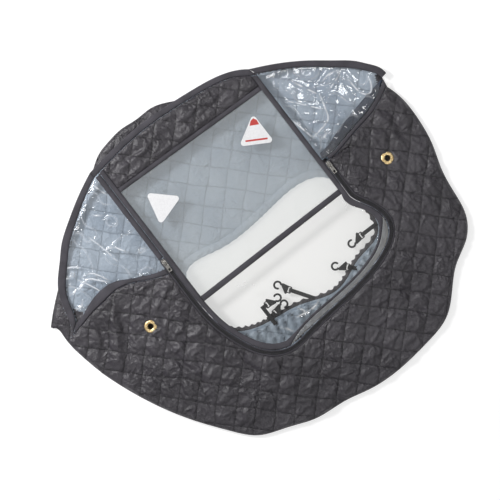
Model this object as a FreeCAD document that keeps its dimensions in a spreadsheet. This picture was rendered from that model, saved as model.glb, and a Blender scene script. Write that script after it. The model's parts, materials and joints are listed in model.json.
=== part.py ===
import FreeCAD, Part
import math
import os
from FreeCAD import Placement, Rotation, Vector

# Quilted stroller weather cover, lying flat on its back with its zipped front panel up.
# Frame: +X across the panel, +Y towards the mouth of the cover, +Z up, origin in the
# middle of the footprint on the surface that the cover lies on.  Millimetres.

doc = FreeCAD.newDocument("stroller_weather_cover")

# ---------------------------------------------------------------- driving sizes

SIZES = {
    "quilt_thick": 3.0,
    "lining_thick": 2.0,
    "pane_thick": 0.8,
    "tape_thick": 2.4,
    "panel_top": 32.0,
    "rim_top": 10.2,
    "hem_top": 14.0,
    "sticker_thick": 0.4,
    "sticker_side": 71.0,
    "sticker_round": 6.0,
    "casing_wide": 14.0,
    "casing_high": 8.0,
    "elastic_inset": 4.0,
    "elastic_wide": 6.0,
    "elastic_thick": 2.0,
    "elastic_z": 3.0,
    "zip_tape_thick": 0.8,
    "zip_coil_thick": 2.2,
    "eyelet_bore": 12.5,
    "eyelet_outer": 25.4,
    "eyelet_flange": 1.2,
    "eyelet_wall": 0.85,
    "eyelet_depth": 7.4,
    "washer_thick": 1.0,
    "hook_thick": 3.0,
    "hook_z": 9.2,
    "hook_z_upper": 13.8,
    "webbing_wide": 8.0,
    "webbing_thick": 0.8,
    "plate_thick": 1.2,
    "slider_wide": 9.0,
    "slider_long": 12.0,
    "bridge_wide": 2.4,
    "bridge_high": 3.3,
    "pull_thick": 1.4,
    "stop_thick": 2.6,
}

sheet = doc.addObject("Spreadsheet::Sheet", "sizes")
for row, (alias, value) in enumerate(SIZES.items(), start=1):
    sheet.set(f"A{row}", alias)
    sheet.set(f"B{row}", str(value))
    sheet.setAlias(f"B{row}", alias)
doc.recompute()


def size(alias):
    return float(sheet.get(alias))


PARTS = []  # the sub-parts that are written, in order

# ---------------------------------------------------------------- places shared by many pieces

PANEL_LEFT, PANEL_RIGHT = -153.5, 212.5  # outer edges of the front panel
PANE_LEFT, PANE_RIGHT = -143.0, 202.0  # edges of the clear panes
STRAIGHT_END = -14.0  # the panel's sides are straight above this line
FOLD_LEFT, FOLD_RIGHT = (-160.0, 108.0), (216.0, 72.0)  # line that the flap folds on
FOLD_GAP = 0.3
SKIRT_LEFT, SKIRT_RIGHT = -165.5, 224.5  # edges of the quilt beside the zip

# Zip, as distances outward from the panel's edge
INNER_TAPE = (0.3, 2.6)
INNER_COIL = (2.6, 4.8)
OUTER_COIL = (6.4, 8.6)
OUTER_TAPE = (8.6, 11.6)
ZIP_MIDDLE = 5.6
ZIP_TOP_LEFT, ZIP_TOP_RIGHT = 100.2, 56.2  # upper ends of the coils
TAPE_TOP_LEFT, TAPE_TOP_RIGHT = 104.0, 58.6
SLIDER_LEFT_Y, SLIDER_RIGHT_Y = 94.0, 50.0

# The panel's outer edge, down the left side, along the bottom and up the right side
EDGE_LEFT = [(-153.5, -14), (-151, -45), (-145, -78), (-134, -112), (-118, -146), (-92, -175),
             (-60, -188)]
EDGE_BOTTOM = [(-60, -188), (-28, -184.5), (2, -181.5), (47, -177.5), (92, -174), (134, -168),
               (167, -160.5), (194, -151), (221, -136), (236, -116), (240, -96)]
EDGE_RIGHT = [(240, -96), (234, -70), (221, -46), (213.5, -30), (212.5, -14)]
# Upper edge of the gusset strip, where the lower window ends
GUSSET_TOP = [(-60, -188), (-28, -176), (2, -170.5), (50, -167), (110, -162), (164, -151.5),
              (203, -134), (226, -113), (240, -96)]
# Edge of the lower window
PANE_EDGE_LEFT = [(-143, -14), (-141, -42), (-135.5, -74), (-125, -106), (-109, -138), (-86, -164),
                  (-62, -175)]
PANE_EDGE_BOTTOM = [(-62, -175), (-30, -171), (2, -165.5), (50, -162.5), (110, -157.5), (162, -147),
                    (197, -132), (217, -114)]
PANE_EDGE_RIGHT = [(217, -114), (226, -97), (225, -80), (218, -62), (206, -45), (200, -30), (202, -11)]
# The line that the zip runs along, before its offsets
ZIP_LINE = [(-153.5, -14), (-151.5, -45), (-145.5, -78), (-134.5, -112), (-118, -147), (-92, -176),
            (-60, -189), (-20, -186), (47, -178.5), (92, -174.5), (134, -169), (167, -161.5),
            (197, -151), (223, -136), (238.5, -116), (241, -95), (234.5, -70), (221.5, -46),
            (214, -30), (212.5, -14)]

# Footprint of the back panel, clockwise from the pointed corner at the left
BACK_OUTLINE = [(-421.5, 131), (-400, 152), (-372, 176), (-338, 204), (-300, 238), (-262, 266),
                (-215, 296), (-165, 328), (-134, 348), (-100, 357), (-70, 361), (-28, 358), (4, 358.5),
                (38, 348), (66, 335), (110, 327), (155, 317), (195, 299), (240, 275), (300, 241),
                (350, 204), (385, 175), (405, 152), (412, 128), (408, 106), (416, 75), (419, 40),
                (417, 0), (409, -46), (394, -94), (386, -145), (377, -196), (350, -234), (302, -263),
                (258, -305), (222, -335), (160, -352), (74, -361), (10, -356), (-40, -345),
                (-110, -337), (-165, -317), (-222, -294), (-262, -252), (-302, -198), (-340, -136),
                (-372, -68), (-395, -4), (-407, 49), (-411.5, 100), (-412, 120), (-421.5, 131)]
# Elasticated opening in the back panel
OPENING = [(-152, 20), (-132, 56), (-60, 50), (0, 46), (70, 52), (140, 57), (190, 42), (218, -5),
           (222, -60), (212, -108), (150, -127), (110, -143), (79, -150), (40, -141), (0, -127),
           (-60, -118), (-110, -104), (-142, -75), (-155, -30)]

# Rim where the skirt folds round to the back, in three stretches
RIM_LEFT = [(-410.5, 88), (-409.5, 70), (-406, 49), (-394.5, -4)]
RIM_MAIN = [(-394.5, -4), (-371.5, -68), (-339.5, -136), (-301.5, -198), (-261.5, -251.5),
            (-221.5, -293.5), (-165, -316.5), (-110, -336.5), (-40, -344.5), (10, -355.5),
            (74, -360.5), (160, -351.5), (221.5, -334.5), (257.5, -304.5), (301.5, -262.5),
            (349.5, -233.5), (376.5, -195.5), (385.5, -145), (393.5, -94), (408.5, -46),
            (416.5, 0), (418.5, 40)]
RIM_RIGHT = [(418.5, 40), (417.5, 62), (413.5, 84), (407.5, 103)]

# Side windows: bound hem at the mouth, and the seam where each meets the skirt
HEM_LEFT_OUTER = [(-168, 326), (-222, 300), (-264, 275), (-302, 248), (-325, 224), (-350, 198),
                  (-368, 170), (-379, 133), (-393, 92)]
HEM_LEFT_INNER = [(-165.5, 313), (-214, 289), (-255, 263), (-292, 236), (-315, 212), (-338, 187),
                  (-354, 164), (-363, 135), (-374, 107.5)]
HEM_RIGHT_OUTER = [(207, 297), (232, 286), (275, 264), (320, 235), (352, 211), (390, 180),
                   (404, 163), (416, 147), (421.5, 126)]
HEM_RIGHT_INNER = [(213.4, 281), (227, 274), (267, 254), (311, 226), (343, 201), (380, 169),
                   (393, 154), (403, 141), (409, 124)]
SEAM_LEFT_UPPER = [(-165.5, 84), (-204, 97), (-238, 114), (-262, 126), (-300, 128.5), (-325, 123),
                   (-350, 113), (-374, 107)]
SEAM_LEFT_LOWER = [(-165.5, 71), (-200, 84), (-230, 99), (-262, 110), (-303, 107), (-330, 104),
                   (-358, 98), (-393, 91)]
SEAM_RIGHT_UPPER = [(213.4, 68), (235, 66), (258, 70), (285, 76), (315, 82), (345, 88), (370, 97),
                    (392, 109), (409, 120)]
SEAM_RIGHT_LOWER = [(224.5, 59), (238, 58), (260, 62), (287, 68), (317, 74), (348, 79.5), (374, 88),
                    (395, 98.5), (407.5, 106)]
FACING_RIGHT_UPPER = [(218, 80), (238, 82), (258, 88), (282, 96), (308, 102), (333, 108), (358, 114),
                      (382, 118), (403, 122)]

# Hem of the quilted band at the top of the panel
HEM_TOP_OUTER = [(-168, 326), (-100, 336), (-30, 341), (40, 338), (100, 332), (150, 323.5),
                 (185, 311), (207, 297)]
HEM_TOP_INNER = [(-165.5, 313), (-98, 323.5), (-30, 328.5), (39, 325.5), (98, 319.5), (146, 311.5),
                 (178, 300), (202, 284.2), (212.6, 278)]
BAND_TOP = [(-143, 316.5), (-98, 323), (-30, 328), (39, 325), (98, 319), (146, 311), (178, 299.5),
            (202, 283.4)]

LAYER_GAP = 0.1  # between the skirt's outer quilt and its lining
SEAM_GAP = 0.45  # between a seam tape and the pieces that it joins
FACING_BELOW = 4.0  # the right facing hangs this far below the window's edge

EYELETS = {"left": (-259.0, 11.0), "right": (319.0, -10.0)}

# Hooks: where each swivels, the direction of its webbing, its level, how its webbing turns
# towards the hem (degrees, then length) and which side its curl opens to
HOOKS = [
    ("hook_1", (188, -101), 0, "hook_z", (0, 34), 1),
    ("hook_2", (127, -137), -45, "hook_z", (0, 22), 1),
    ("hook_3", (6, -102), -56, "hook_z", (0, 46), -1),
    ("hook_4", (-52, -96), 180, "hook_z_upper", (90, 38), -1),
    ("hook_5", (-49, -119), 184, "hook_z", (0, 14), 1),
]
CURL_CENTRE = (-28.0, -1.5)
CURL_OUTER, CURL_INNER = 9.0, 5.0
BAR_HALF = 1.5
SLOT_END = 5.5
SLOT_HALF = 5.2
PLATE_HALF = 7.2
LOOP_INNER = 2.7
LOOP_GAP = 0.3
CASING_GAP = 0.2  # the sewn webbing ends just under the hook's plate
WEBBING_BITE = 0.2  # and just over the casing
STACK_LONG = 12.0

# ---------------------------------------------------------------- curves and sketches


def vec(point, z=0.0):
    return Vector(point[0], point[1], point[2] if len(point) > 2 else z)


def curve(points):
    """A smooth curve through the points."""
    result = Part.BSplineCurve()
    result.interpolate(Points=[vec(p) for p in points])
    return result


def loop_curve(points):
    """A smooth closed curve through the points."""
    result = Part.BSplineCurve()
    result.interpolate(Points=[vec(p) for p in points], PeriodicFlag=True)
    return result


def line(a, b):
    return Part.LineSegment(vec(a), vec(b))


def polygon(points):
    return [line(a, b) for a, b in zip(points, points[1:] + points[:1])]


def offset(points, distance, closed=False, ends=None):
    """The points moved to the left of the way they run, or right if distance is negative."""
    count = len(points)
    moved = []
    for i, (x, y) in enumerate(points):
        before = points[(i - 1) % count] if closed or i > 0 else points[0]
        after = points[(i + 1) % count] if closed or i < count - 1 else points[-1]
        dx, dy = after[0] - before[0], after[1] - before[1]
        if ends and i in (0, count - 1):
            dx, dy = ends[0] if i == 0 else ends[1]
        length = math.hypot(dx, dy)
        moved.append((x - dy / length * distance, y + dx / length * distance))
    return moved


def zip_points(distance):
    """The zip line moved outward, where it leaves and joins the straight sides squarely."""
    return offset(ZIP_LINE, -distance, ends=((0, -1), (0, 1)))


def with_heights(points, start, end, share=1.0):
    """Heights that ease from start to end over a share of the points' length."""
    steps = [0.0]
    for a, b in zip(points, points[1:]):
        steps.append(steps[-1] + math.hypot(b[0] - a[0], b[1] - a[1]))
    raised = []
    for (x, y), run in zip(points, steps):
        rest = max(0.0, 1.0 - run / (steps[-1] * share))
        raised.append((x, y, end + (start - end) * rest ** 1.3))
    return raised


def fold_y(x, gap=0.0):
    """The fold line's Y at x."""
    slope = (FOLD_RIGHT[1] - FOLD_LEFT[1]) / (FOLD_RIGHT[0] - FOLD_LEFT[0])
    return FOLD_LEFT[1] + (x - FOLD_LEFT[0]) * slope + gap


def origin_plane(body, role):
    return next(f for f in body.Origin.OriginFeatures if f.Role == role)


def new_body(name):
    body = doc.addObject("PartDesign::Body", name)
    body.Label = name
    return body


def add_sketch(body, name, geometry, role="XY_Plane"):
    sketch = body.newObject("Sketcher::SketchObject", name)
    sketch.AttachmentSupport = [(origin_plane(body, role), "")]
    sketch.MapMode = "FlatFace"
    for item in geometry:
        sketch.addGeometry(item, False)
    return sketch


def add_pad(body, name, geometry, length, z="0", role="XY_Plane", both_ways=False):
    """A pad whose length and height above the body's own plane come from the sheet."""
    sketch = add_sketch(body, name + "_sketch", geometry, role)
    if z != "0":
        sketch.setExpression(".AttachmentOffset.Base.z", z)
    pad = body.newObject("PartDesign::Pad", name + "_pad")
    pad.Profile = sketch
    pad.setExpression("Length", length)
    pad.Midplane = both_ways
    return pad


def flat_piece(name, geometry, length, z):
    """A flat piece of fabric, tape or film: one outline, one thickness."""
    body = new_body(name)
    add_pad(body, name, geometry, length)
    body.setExpression(".Placement.Base.z", z)
    PARTS.append(body)
    return body


def ruled_solid(stretches, thick):
    """One solid under the faces ruled between pairs of curves, which follow on from each other."""
    down = Vector(0, 0, -thick)
    faces = []
    for one, other in stretches:
        rails = [curve(one).toShape(), curve(other).toShape()]
        top = Part.makeRuledSurface(*rails, 1)
        faces += [top, top.translated(down)] + [rail.extrude(down) for rail in rails]
    for stretch, end in ((stretches[0], 0), (stretches[-1], -1)):
        one, other = stretch
        faces.append(Part.makeLine(vec(one[end]), vec(other[end])).extrude(down))
    shell = Part.makeShell(faces)
    shell.sewShape()
    solid = Part.makeSolid(shell)
    if solid.Volume < 0:
        solid.reverse()
    return solid


def sloped_piece(name, stretches, thick, drop=0.0, cut=None):
    """A sloping piece of fabric or film, thick downwards, with holes where cut says."""
    shape = ruled_solid(stretches, thick)
    shape.translate(Vector(0, 0, -drop))
    if cut is not None:
        shape = shape.cut(cut).Solids[0]
    feature = doc.addObject("Part::Feature", name)
    feature.Label = name
    feature.Shape = shape
    PARTS.append(feature)
    return feature


# ---------------------------------------------------------------- back panel and its elasticated hem


def build_back():
    hole = loop_curve(offset(OPENING, size("casing_wide"), closed=True))
    flat_piece("back_quilt", [curve(BACK_OUTLINE), hole], "sizes.quilt_thick", "0")
    inside = BACK_OUTLINE[:-1]
    lining = loop_curve(offset(inside, -3.0, closed=True))
    flat_piece("back_lining", [lining, hole], "sizes.lining_thick", "sizes.quilt_thick")


def build_hem():
    inset, wide = size("elastic_inset"), size("elastic_wide")
    elastic = flat_piece(
        "hem_elastic",
        [loop_curve(offset(OPENING, inset, closed=True)),
         loop_curve(offset(OPENING, inset + wide, closed=True))],
        "sizes.elastic_thick", "sizes.elastic_z")
    tunnel = new_body("hem_casing_solid")
    add_pad(tunnel, "hem_casing_solid",
            [loop_curve(OPENING), loop_curve(offset(OPENING, size("casing_wide"), closed=True))],
            "sizes.casing_high")
    casing = doc.addObject("Part::Cut", "hem_casing")
    casing.Label = "hem_casing"
    casing.Base, casing.Tool = tunnel, elastic
    PARTS.append(casing)


# ---------------------------------------------------------------- skirt round the panel, with its eyelets


def skirt_stretches():
    top, rim, tip = size("panel_top"), size("rim_top"), size("hem_top")
    left_seam = with_heights(SEAM_LEFT_LOWER, top, tip)[::-1]
    right_seam = with_heights(SEAM_RIGHT_LOWER, top, tip)
    inner = [(SKIRT_LEFT, SEAM_LEFT_LOWER[0][1]), (SKIRT_LEFT, 28)]
    inner += zip_points(abs(SKIRT_LEFT - PANEL_LEFT))
    inner += [(SKIRT_RIGHT, 22), (SKIRT_RIGHT, SEAM_RIGHT_LOWER[0][1])]
    return [
        (left_seam, [(x, y, rim) for x, y in RIM_LEFT]),
        ([(x, y, top) for x, y in inner], [(x, y, rim) for x, y in RIM_MAIN]),
        (right_seam, [(x, y, rim) for x, y in RIM_RIGHT]),
    ]


def surface_height(shape, x, y):
    probe = Part.makeLine(Vector(x, y, 0), Vector(x, y, 60))
    return max(v.Z for v in shape.common(probe).Vertexes)


def surface_placement(shape, x, y, reach=10.0):
    """The place on top of a shape at x, y, with Z along the surface's normal."""
    east = Vector(2 * reach, 0, surface_height(shape, x + reach, y) - surface_height(shape, x - reach, y))
    north = Vector(0, 2 * reach, surface_height(shape, x, y + reach) - surface_height(shape, x, y - reach))
    normal = east.cross(north).normalize()
    return Placement(Vector(x, y, surface_height(shape, x, y)), Rotation(Vector(0, 0, 1), normal))


def eyelet_hole(place):
    """A square hole that clears the eyelet's barrel and stays under its flange."""
    side, deep = 16.0, 20.0
    box = Part.makeBox(side, side, deep, Vector(-side / 2, -side / 2, -deep / 2))
    box.Placement = place
    return box


def build_skirt():
    whole = sloped_piece("skirt_probe", skirt_stretches(), size("quilt_thick"))
    places = {side: surface_placement(whole.Shape, x, y) for side, (x, y) in EYELETS.items()}
    PARTS.remove(whole)
    doc.removeObject(whole.Name)
    holes = Part.makeCompound([eyelet_hole(place) for place in places.values()])
    sloped_piece("skirt_quilt", skirt_stretches(), size("quilt_thick"), cut=holes)
    below = size("quilt_thick") + LAYER_GAP
    sloped_piece("skirt_lining", skirt_stretches(), size("lining_thick"), below, cut=holes)
    return places


def add_revolution(body, name, geometry):
    sketch = add_sketch(body, name + "_sketch", geometry, "XZ_Plane")
    turn = body.newObject("PartDesign::Revolution", name + "_turn")
    turn.Profile = sketch
    turn.ReferenceAxis = (sketch, ["V_Axis"])
    turn.Angle = 360.0
    return turn


def build_eyelet(side, place):
    """A brass eyelet: domed flange, barrel through the quilt, and a roll under the washer."""
    bore, outer = size("eyelet_bore") / 2, size("eyelet_outer") / 2
    wall, flange, deep = size("eyelet_wall"), size("eyelet_flange"), size("eyelet_depth")
    low, crown, roll = 0.3, 0.5, 1.7
    dome = Part.Arc(Vector(outer, low + 0.3, 0), Vector((bore + outer) / 2, low + flange + crown, 0),
                    Vector(bore, low + flange - 0.2, 0))
    outline = [dome] + [line(a, b) for a, b in zip(
        [(bore, low + flange - 0.2), (bore, -deep), (bore + wall + roll, -deep),
         (bore + wall + roll, -deep + 0.6), (bore + wall, -deep + 0.6), (bore + wall, low), (outer, low)],
        [(bore, -deep), (bore + wall + roll, -deep), (bore + wall + roll, -deep + 0.6),
         (bore + wall, -deep + 0.6), (bore + wall, low), (outer, low), (outer, low + 0.3)])]
    body = new_body("eyelet_" + side)
    add_revolution(body, "eyelet_" + side, outline)
    body.Placement = place
    PARTS.append(body)


def build_washer(side, place):
    bore, outer, wall = size("eyelet_bore") / 2, size("eyelet_outer") / 2, size("eyelet_wall")
    top = -(size("quilt_thick") + size("lining_thick")) - 0.4
    thick = size("washer_thick")
    body = new_body("eyelet_washer_" + side)
    outline = polygon([(bore + wall + 0.3, top), (outer - 0.6, top), (outer, top - thick / 2),
                       (outer - 0.6, top - thick), (bore + wall + 0.3, top - thick)])
    add_revolution(body, "eyelet_washer_" + side, outline)
    body.Placement = place
    PARTS.append(body)


# ---------------------------------------------------------------- side windows


def hem_heights(points):
    return with_heights(points, size("panel_top"), size("hem_top"), share=0.75)


def side_window(name, edge_x, hem, seam):
    """A clear side window: from the panel's edge and the seam out to the bound hem."""
    top, tip = size("panel_top"), size("hem_top")
    middle = 4
    hem = hem_heights(hem)
    seam = with_heights(seam, top, tip)[:-1]
    first = (edge_x, hem[0][1] - 1.0)
    steps = [first[1] + (seam[0][1] - first[1]) * i / middle for i in range(middle + 1)]
    edge = [(edge_x, y, top) for y in steps]
    sloped_piece(name, [(edge, hem[:middle + 1]), (seam, hem[middle:-1])], size("pane_thick"))


def build_side_windows():
    inset = 0.5
    side_window("side_window_left", SKIRT_LEFT, offset(HEM_LEFT_INNER, inset), SEAM_LEFT_UPPER)
    side_window("side_window_right", 213.4, offset(HEM_RIGHT_INNER, -inset), SEAM_RIGHT_UPPER)
    tape = size("tape_thick")
    for side, outer, inner in (("left", HEM_LEFT_OUTER, HEM_LEFT_INNER),
                               ("right", HEM_RIGHT_OUTER, HEM_RIGHT_INNER)):
        sloped_piece("side_hem_tape_" + side, [(hem_heights(outer), hem_heights(inner))], tape)


def build_seams():
    top, tip, tape = size("panel_top"), size("hem_top"), size("tape_thick")
    pairs = {"left": (SEAM_LEFT_UPPER, SEAM_LEFT_LOWER),
             "right": ([(224.5, 67)] + SEAM_RIGHT_UPPER[1:], SEAM_RIGHT_LOWER)}
    for side, (upper, lower) in pairs.items():
        away = SEAM_GAP if side == "left" else -SEAM_GAP
        apart, close = offset(upper, away), offset(lower, -away)
        sloped_piece("seam_tape_" + side,
                     [(with_heights(apart, top, tip), with_heights(close, top, tip))], tape)
    below = FACING_BELOW
    upper = [(x, y, z - below) for x, y, z in with_heights(FACING_RIGHT_UPPER, top, tip)]
    lower = [(x, y, z - below) for x, y, z in with_heights(SEAM_RIGHT_UPPER, top, tip)]
    sloped_piece("facing_right", [(upper, lower)], size("lining_thick") / 2)


# ---------------------------------------------------------------- upper part of the front panel


def build_band():
    left, right = PANE_LEFT, PANE_RIGHT
    outline = [curve(BAND_TOP), line(BAND_TOP[-1], (right, 259)), line((right, 259), (left, 268)),
               line((left, 268), BAND_TOP[0])]
    quilt_z = "sizes.panel_top - sizes.quilt_thick"
    flat_piece("band_quilt", outline, "sizes.quilt_thick", quilt_z)
    flat_piece("band_lining", outline, "sizes.lining_thick", quilt_z + " - sizes.lining_thick")
    hem = [curve(HEM_TOP_OUTER), line(HEM_TOP_OUTER[-1], HEM_TOP_INNER[-1]), curve(HEM_TOP_INNER),
           line(HEM_TOP_INNER[0], HEM_TOP_OUTER[0])]
    tape_z = "sizes.panel_top - sizes.tape_thick"
    flat_piece("top_hem_tape", hem, "sizes.tape_thick", tape_z)
    head = polygon([(left, 258), (left, 268), (right, 259), (right, 248.5)])
    flat_piece("head_tape", head, "sizes.tape_thick", tape_z)


def tape_strip(name, x_low, x_high, y_low, y_high):
    """A straight tape along the panel's side, whose ends may slant."""
    corners = [(x_low, y_low(x_low)), (x_high, y_low(x_high)), (x_high, y_high(x_high)),
               (x_low, y_high(x_low))]
    flat_piece(name, polygon(corners), "sizes.tape_thick", "sizes.panel_top - sizes.tape_thick")


def build_upper_panel():
    def above_fold(x):
        return fold_y(x, FOLD_GAP)

    tape_strip("side_tape_left", PANEL_LEFT, PANE_LEFT, above_fold, lambda x: 314.4 + (x + 153.5) * 0.15)
    tape_strip("side_tape_right", PANE_RIGHT, PANEL_RIGHT, above_fold, lambda x: 283.0 - (x - 202) * 0.6)
    tape_strip("wing_tape_left", PANEL_LEFT - 11.6, PANEL_LEFT - 0.7,
               lambda x: TAPE_TOP_LEFT + 0.6, lambda x: 311.5)
    pane = polygon([(PANE_LEFT, 258), (PANE_RIGHT, 248.5), (PANE_RIGHT, above_fold(PANE_RIGHT)),
                    (PANE_LEFT, above_fold(PANE_LEFT))])
    flat_piece("window_upper", pane, "sizes.pane_thick", "sizes.panel_top - 2 * sizes.pane_thick")


def rounded_triangle(side, radius):
    """An equilateral triangle with round corners, one corner towards +X."""
    reach = side / math.sqrt(3)
    corners = [Vector(reach * math.cos(a), reach * math.sin(a), 0)
               for a in (math.radians(120 * i) for i in range(3))]
    items, ends = [], []
    for i, corner in enumerate(corners):
        back = (corners[i - 1] - corner).normalize()
        ahead = (corners[(i + 1) % 3] - corner).normalize()
        setback = radius * math.sqrt(3)
        start, stop = corner + back * setback, corner + ahead * setback
        middle = corner * ((reach - radius) / reach)
        items.append(Part.Arc(start, middle, stop))
        ends.append((start, stop))
    for i in range(3):
        items.append(Part.LineSegment(ends[i][1], ends[(i + 1) % 3][0]))
    return items


def build_sticker(name, x, y, angle):
    outline = rounded_triangle(size("sticker_side"), size("sticker_round"))
    body = flat_piece(name, outline, "sizes.sticker_thick", "sizes.panel_top - sizes.pane_thick")
    body.Placement = Placement(Vector(x, y, 0), Rotation(Vector(0, 0, 1), angle))


# ---------------------------------------------------------------- flap: the part that the zip frees


def build_flap():
    def below_fold(x):
        return fold_y(x, -FOLD_GAP)

    left, right = PANE_LEFT, PANE_RIGHT
    pane_z = "sizes.panel_top - 2 * sizes.pane_thick"
    tape_z = "sizes.panel_top - sizes.tape_thick"
    middle = polygon([(left, below_fold(left)), (right, below_fold(right)), (right, 0.5), (left, -2)])
    flat_piece("window_middle", middle, "sizes.pane_thick", pane_z)
    bar = polygon([(left, -2), (right, 0.5), (right, -11), (left, -14)])
    flat_piece("crossbar_tape", bar, "sizes.tape_thick", tape_z)
    window = [line((left, -14), (right, -11)), curve(PANE_EDGE_RIGHT), curve(PANE_EDGE_BOTTOM),
              curve(PANE_EDGE_LEFT)]
    flat_piece("window_lower", window, "sizes.pane_thick", pane_z)
    corner_left, corner_right = (PANEL_LEFT, below_fold(PANEL_LEFT)), (PANEL_RIGHT, below_fold(PANEL_RIGHT))
    inner_left, inner_right = (left, below_fold(left)), (right, below_fold(right))
    border = [line(corner_left, EDGE_LEFT[0]), curve(EDGE_LEFT), curve(GUSSET_TOP), curve(EDGE_RIGHT),
              line(EDGE_RIGHT[-1], corner_right), line(corner_right, inner_right),
              line(inner_right, PANE_EDGE_RIGHT[-1]), curve(PANE_EDGE_RIGHT), curve(PANE_EDGE_BOTTOM),
              curve(PANE_EDGE_LEFT), line(PANE_EDGE_LEFT[0], inner_left), line(inner_left, corner_left)]
    flat_piece("flap_tape", border, "sizes.tape_thick", tape_z)
    flat_piece("gusset_strip", [curve(GUSSET_TOP), curve(EDGE_BOTTOM)], "2 * sizes.pane_thick", pane_z)


# ---------------------------------------------------------------- zip


def zip_band(near, far, top_left, top_right):
    """The outline of one strip of the zip, between two distances from the panel's edge."""
    items = []
    for distance in (near, far):
        x_left, x_right = PANEL_LEFT - distance, PANEL_RIGHT + distance
        items += [line((x_left, top_left), (x_left, STRAIGHT_END)), curve(zip_points(distance)),
                  line((x_right, STRAIGHT_END), (x_right, top_right))]
    items += [line((PANEL_LEFT - near, top_left), (PANEL_LEFT - far, top_left)),
              line((PANEL_RIGHT + near, top_right), (PANEL_RIGHT + far, top_right))]
    return items


def build_zip():
    tape_z = "sizes.panel_top - 2 * sizes.zip_tape_thick"
    coil_z = "sizes.panel_top - sizes.zip_coil_thick"
    for side, tape, coil in (("inner", INNER_TAPE, INNER_COIL), ("outer", OUTER_TAPE, OUTER_COIL)):
        flat_piece("zip_tape_" + side, zip_band(*tape, TAPE_TOP_LEFT, TAPE_TOP_RIGHT),
                   "sizes.zip_tape_thick", tape_z)
        flat_piece("zip_coil_" + side, zip_band(*coil, ZIP_TOP_LEFT, ZIP_TOP_RIGHT),
                   "sizes.zip_coil_thick", coil_z)
        build_stops(side, coil)


def build_stops(side, coil):
    """The two end stops on one side of the zip, one above each end of its coil."""
    low, high = 0.2, 2.0
    items = []
    for edge, sign, top in ((PANEL_LEFT, -1, ZIP_TOP_LEFT), (PANEL_RIGHT, 1, ZIP_TOP_RIGHT)):
        near, far = edge + sign * coil[0], edge + sign * coil[1]
        items += polygon([(near, top + low), (far, top + low), (far, top + high), (near, top + high)])
    flat_piece("zip_stops_" + side, items, "sizes.stop_thick", "sizes.panel_top - sizes.zip_coil_thick")


def rounded_rectangle(x0, y0, x1, y1, radius):
    left, right, low, high = x0 + radius, x1 - radius, y0 + radius, y1 - radius
    bulge = radius * (1 - math.sqrt(0.5))
    return [
        line((left, y0), (right, y0)), line((x1, low), (x1, high)),
        line((right, y1), (left, y1)), line((x0, high), (x0, low)),
        Part.Arc(vec((right, y0)), vec((x1 - bulge, y0 + bulge)), vec((x1, low))),
        Part.Arc(vec((x1, high)), vec((x1 - bulge, y1 - bulge)), vec((right, y1))),
        Part.Arc(vec((left, y1)), vec((x0 + bulge, y1 - bulge)), vec((x0, high))),
        Part.Arc(vec((x0, low)), vec((x0 + bulge, y0 + bulge)), vec((left, y0))),
    ]


PLATE_LIFT = 0.3  # the slider's top plate above the coils
PULL_AXIS = 2.6  # the pull's axis above the coils
BRIDGE_HALF, BRIDGE_SPAN = 4.5, 1.7


def build_slider(side, x, y, inward):
    """A zip slider: top plate, blade between the coils, half bottom plate and a bridge."""
    body = new_body("slider_" + side)
    wide, long = size("slider_wide") / 2, size("slider_long") / 2
    name = "slider_" + side
    blade = 0.5
    add_pad(body, name + "_top", rounded_rectangle(-wide, -long, wide, long, 2.5),
            "sizes.plate_thick", str(PLATE_LIFT))
    add_pad(body, name + "_blade", polygon([(-blade, 1), (blade, 1), (blade, 5), (-blade, 5)]),
            "3.4 + " + str(PLATE_LIFT), "-3.4")
    edges = sorted((-blade * inward, wide * inward))
    add_pad(body, name + "_bottom", rounded_rectangle(edges[0], -long, edges[1], long, 0.4),
            "sizes.plate_thick", "-3.2 - sizes.plate_thick")
    foot = PLATE_LIFT + size("plate_thick")
    crown = foot + size("bridge_high")
    outline = polygon([(-BRIDGE_HALF, foot - 0.4), (-BRIDGE_HALF, crown - 1.2), (-BRIDGE_HALF + 1.6, crown),
                       (BRIDGE_HALF - 1.6, crown), (BRIDGE_HALF, crown - 1.2), (BRIDGE_HALF, foot - 0.4),
                       (BRIDGE_SPAN, foot - 0.4), (BRIDGE_SPAN, crown - 1.1), (-BRIDGE_SPAN, crown - 1.1),
                       (-BRIDGE_SPAN, foot - 0.4)])
    add_pad(body, name + "_bridge", outline, "sizes.bridge_wide", role="YZ_Plane", both_ways=True)
    body.Placement = Placement(Vector(x, y, 0), Rotation())
    body.setExpression(".Placement.Base.z", "sizes.panel_top")
    PARTS.append(body)


def build_pull(side, x, y):
    """The pull tab: its cross bar lies under the slider's bridge."""
    body = new_body("slider_pull_" + side)
    name = "slider_pull_" + side
    half, bar = 4.0, 0.65
    outline = rounded_rectangle(-half, -21, half, bar, 0.6)
    window = polygon([(-2.0, -5.9), (2.0, -5.9), (2.0, -bar), (-2.0, -bar)])
    hole = [Part.Circle(Vector(0, -16.5, 0), Vector(0, 0, 1), 2.4)]
    add_pad(body, name, outline + window + hole, "sizes.pull_thick",
            f"{PULL_AXIS} - sizes.pull_thick / 2")
    body.Placement = Placement(Vector(x, y, 0), Rotation())
    body.setExpression(".Placement.Base.z", "sizes.panel_top")
    PARTS.append(body)


# ---------------------------------------------------------------- hooks on webbing


def arc_point(centre, radius, degrees):
    angle = math.radians(degrees)
    return Vector(centre[0] + radius * math.cos(angle), centre[1] + radius * math.sin(angle), 0)


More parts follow.
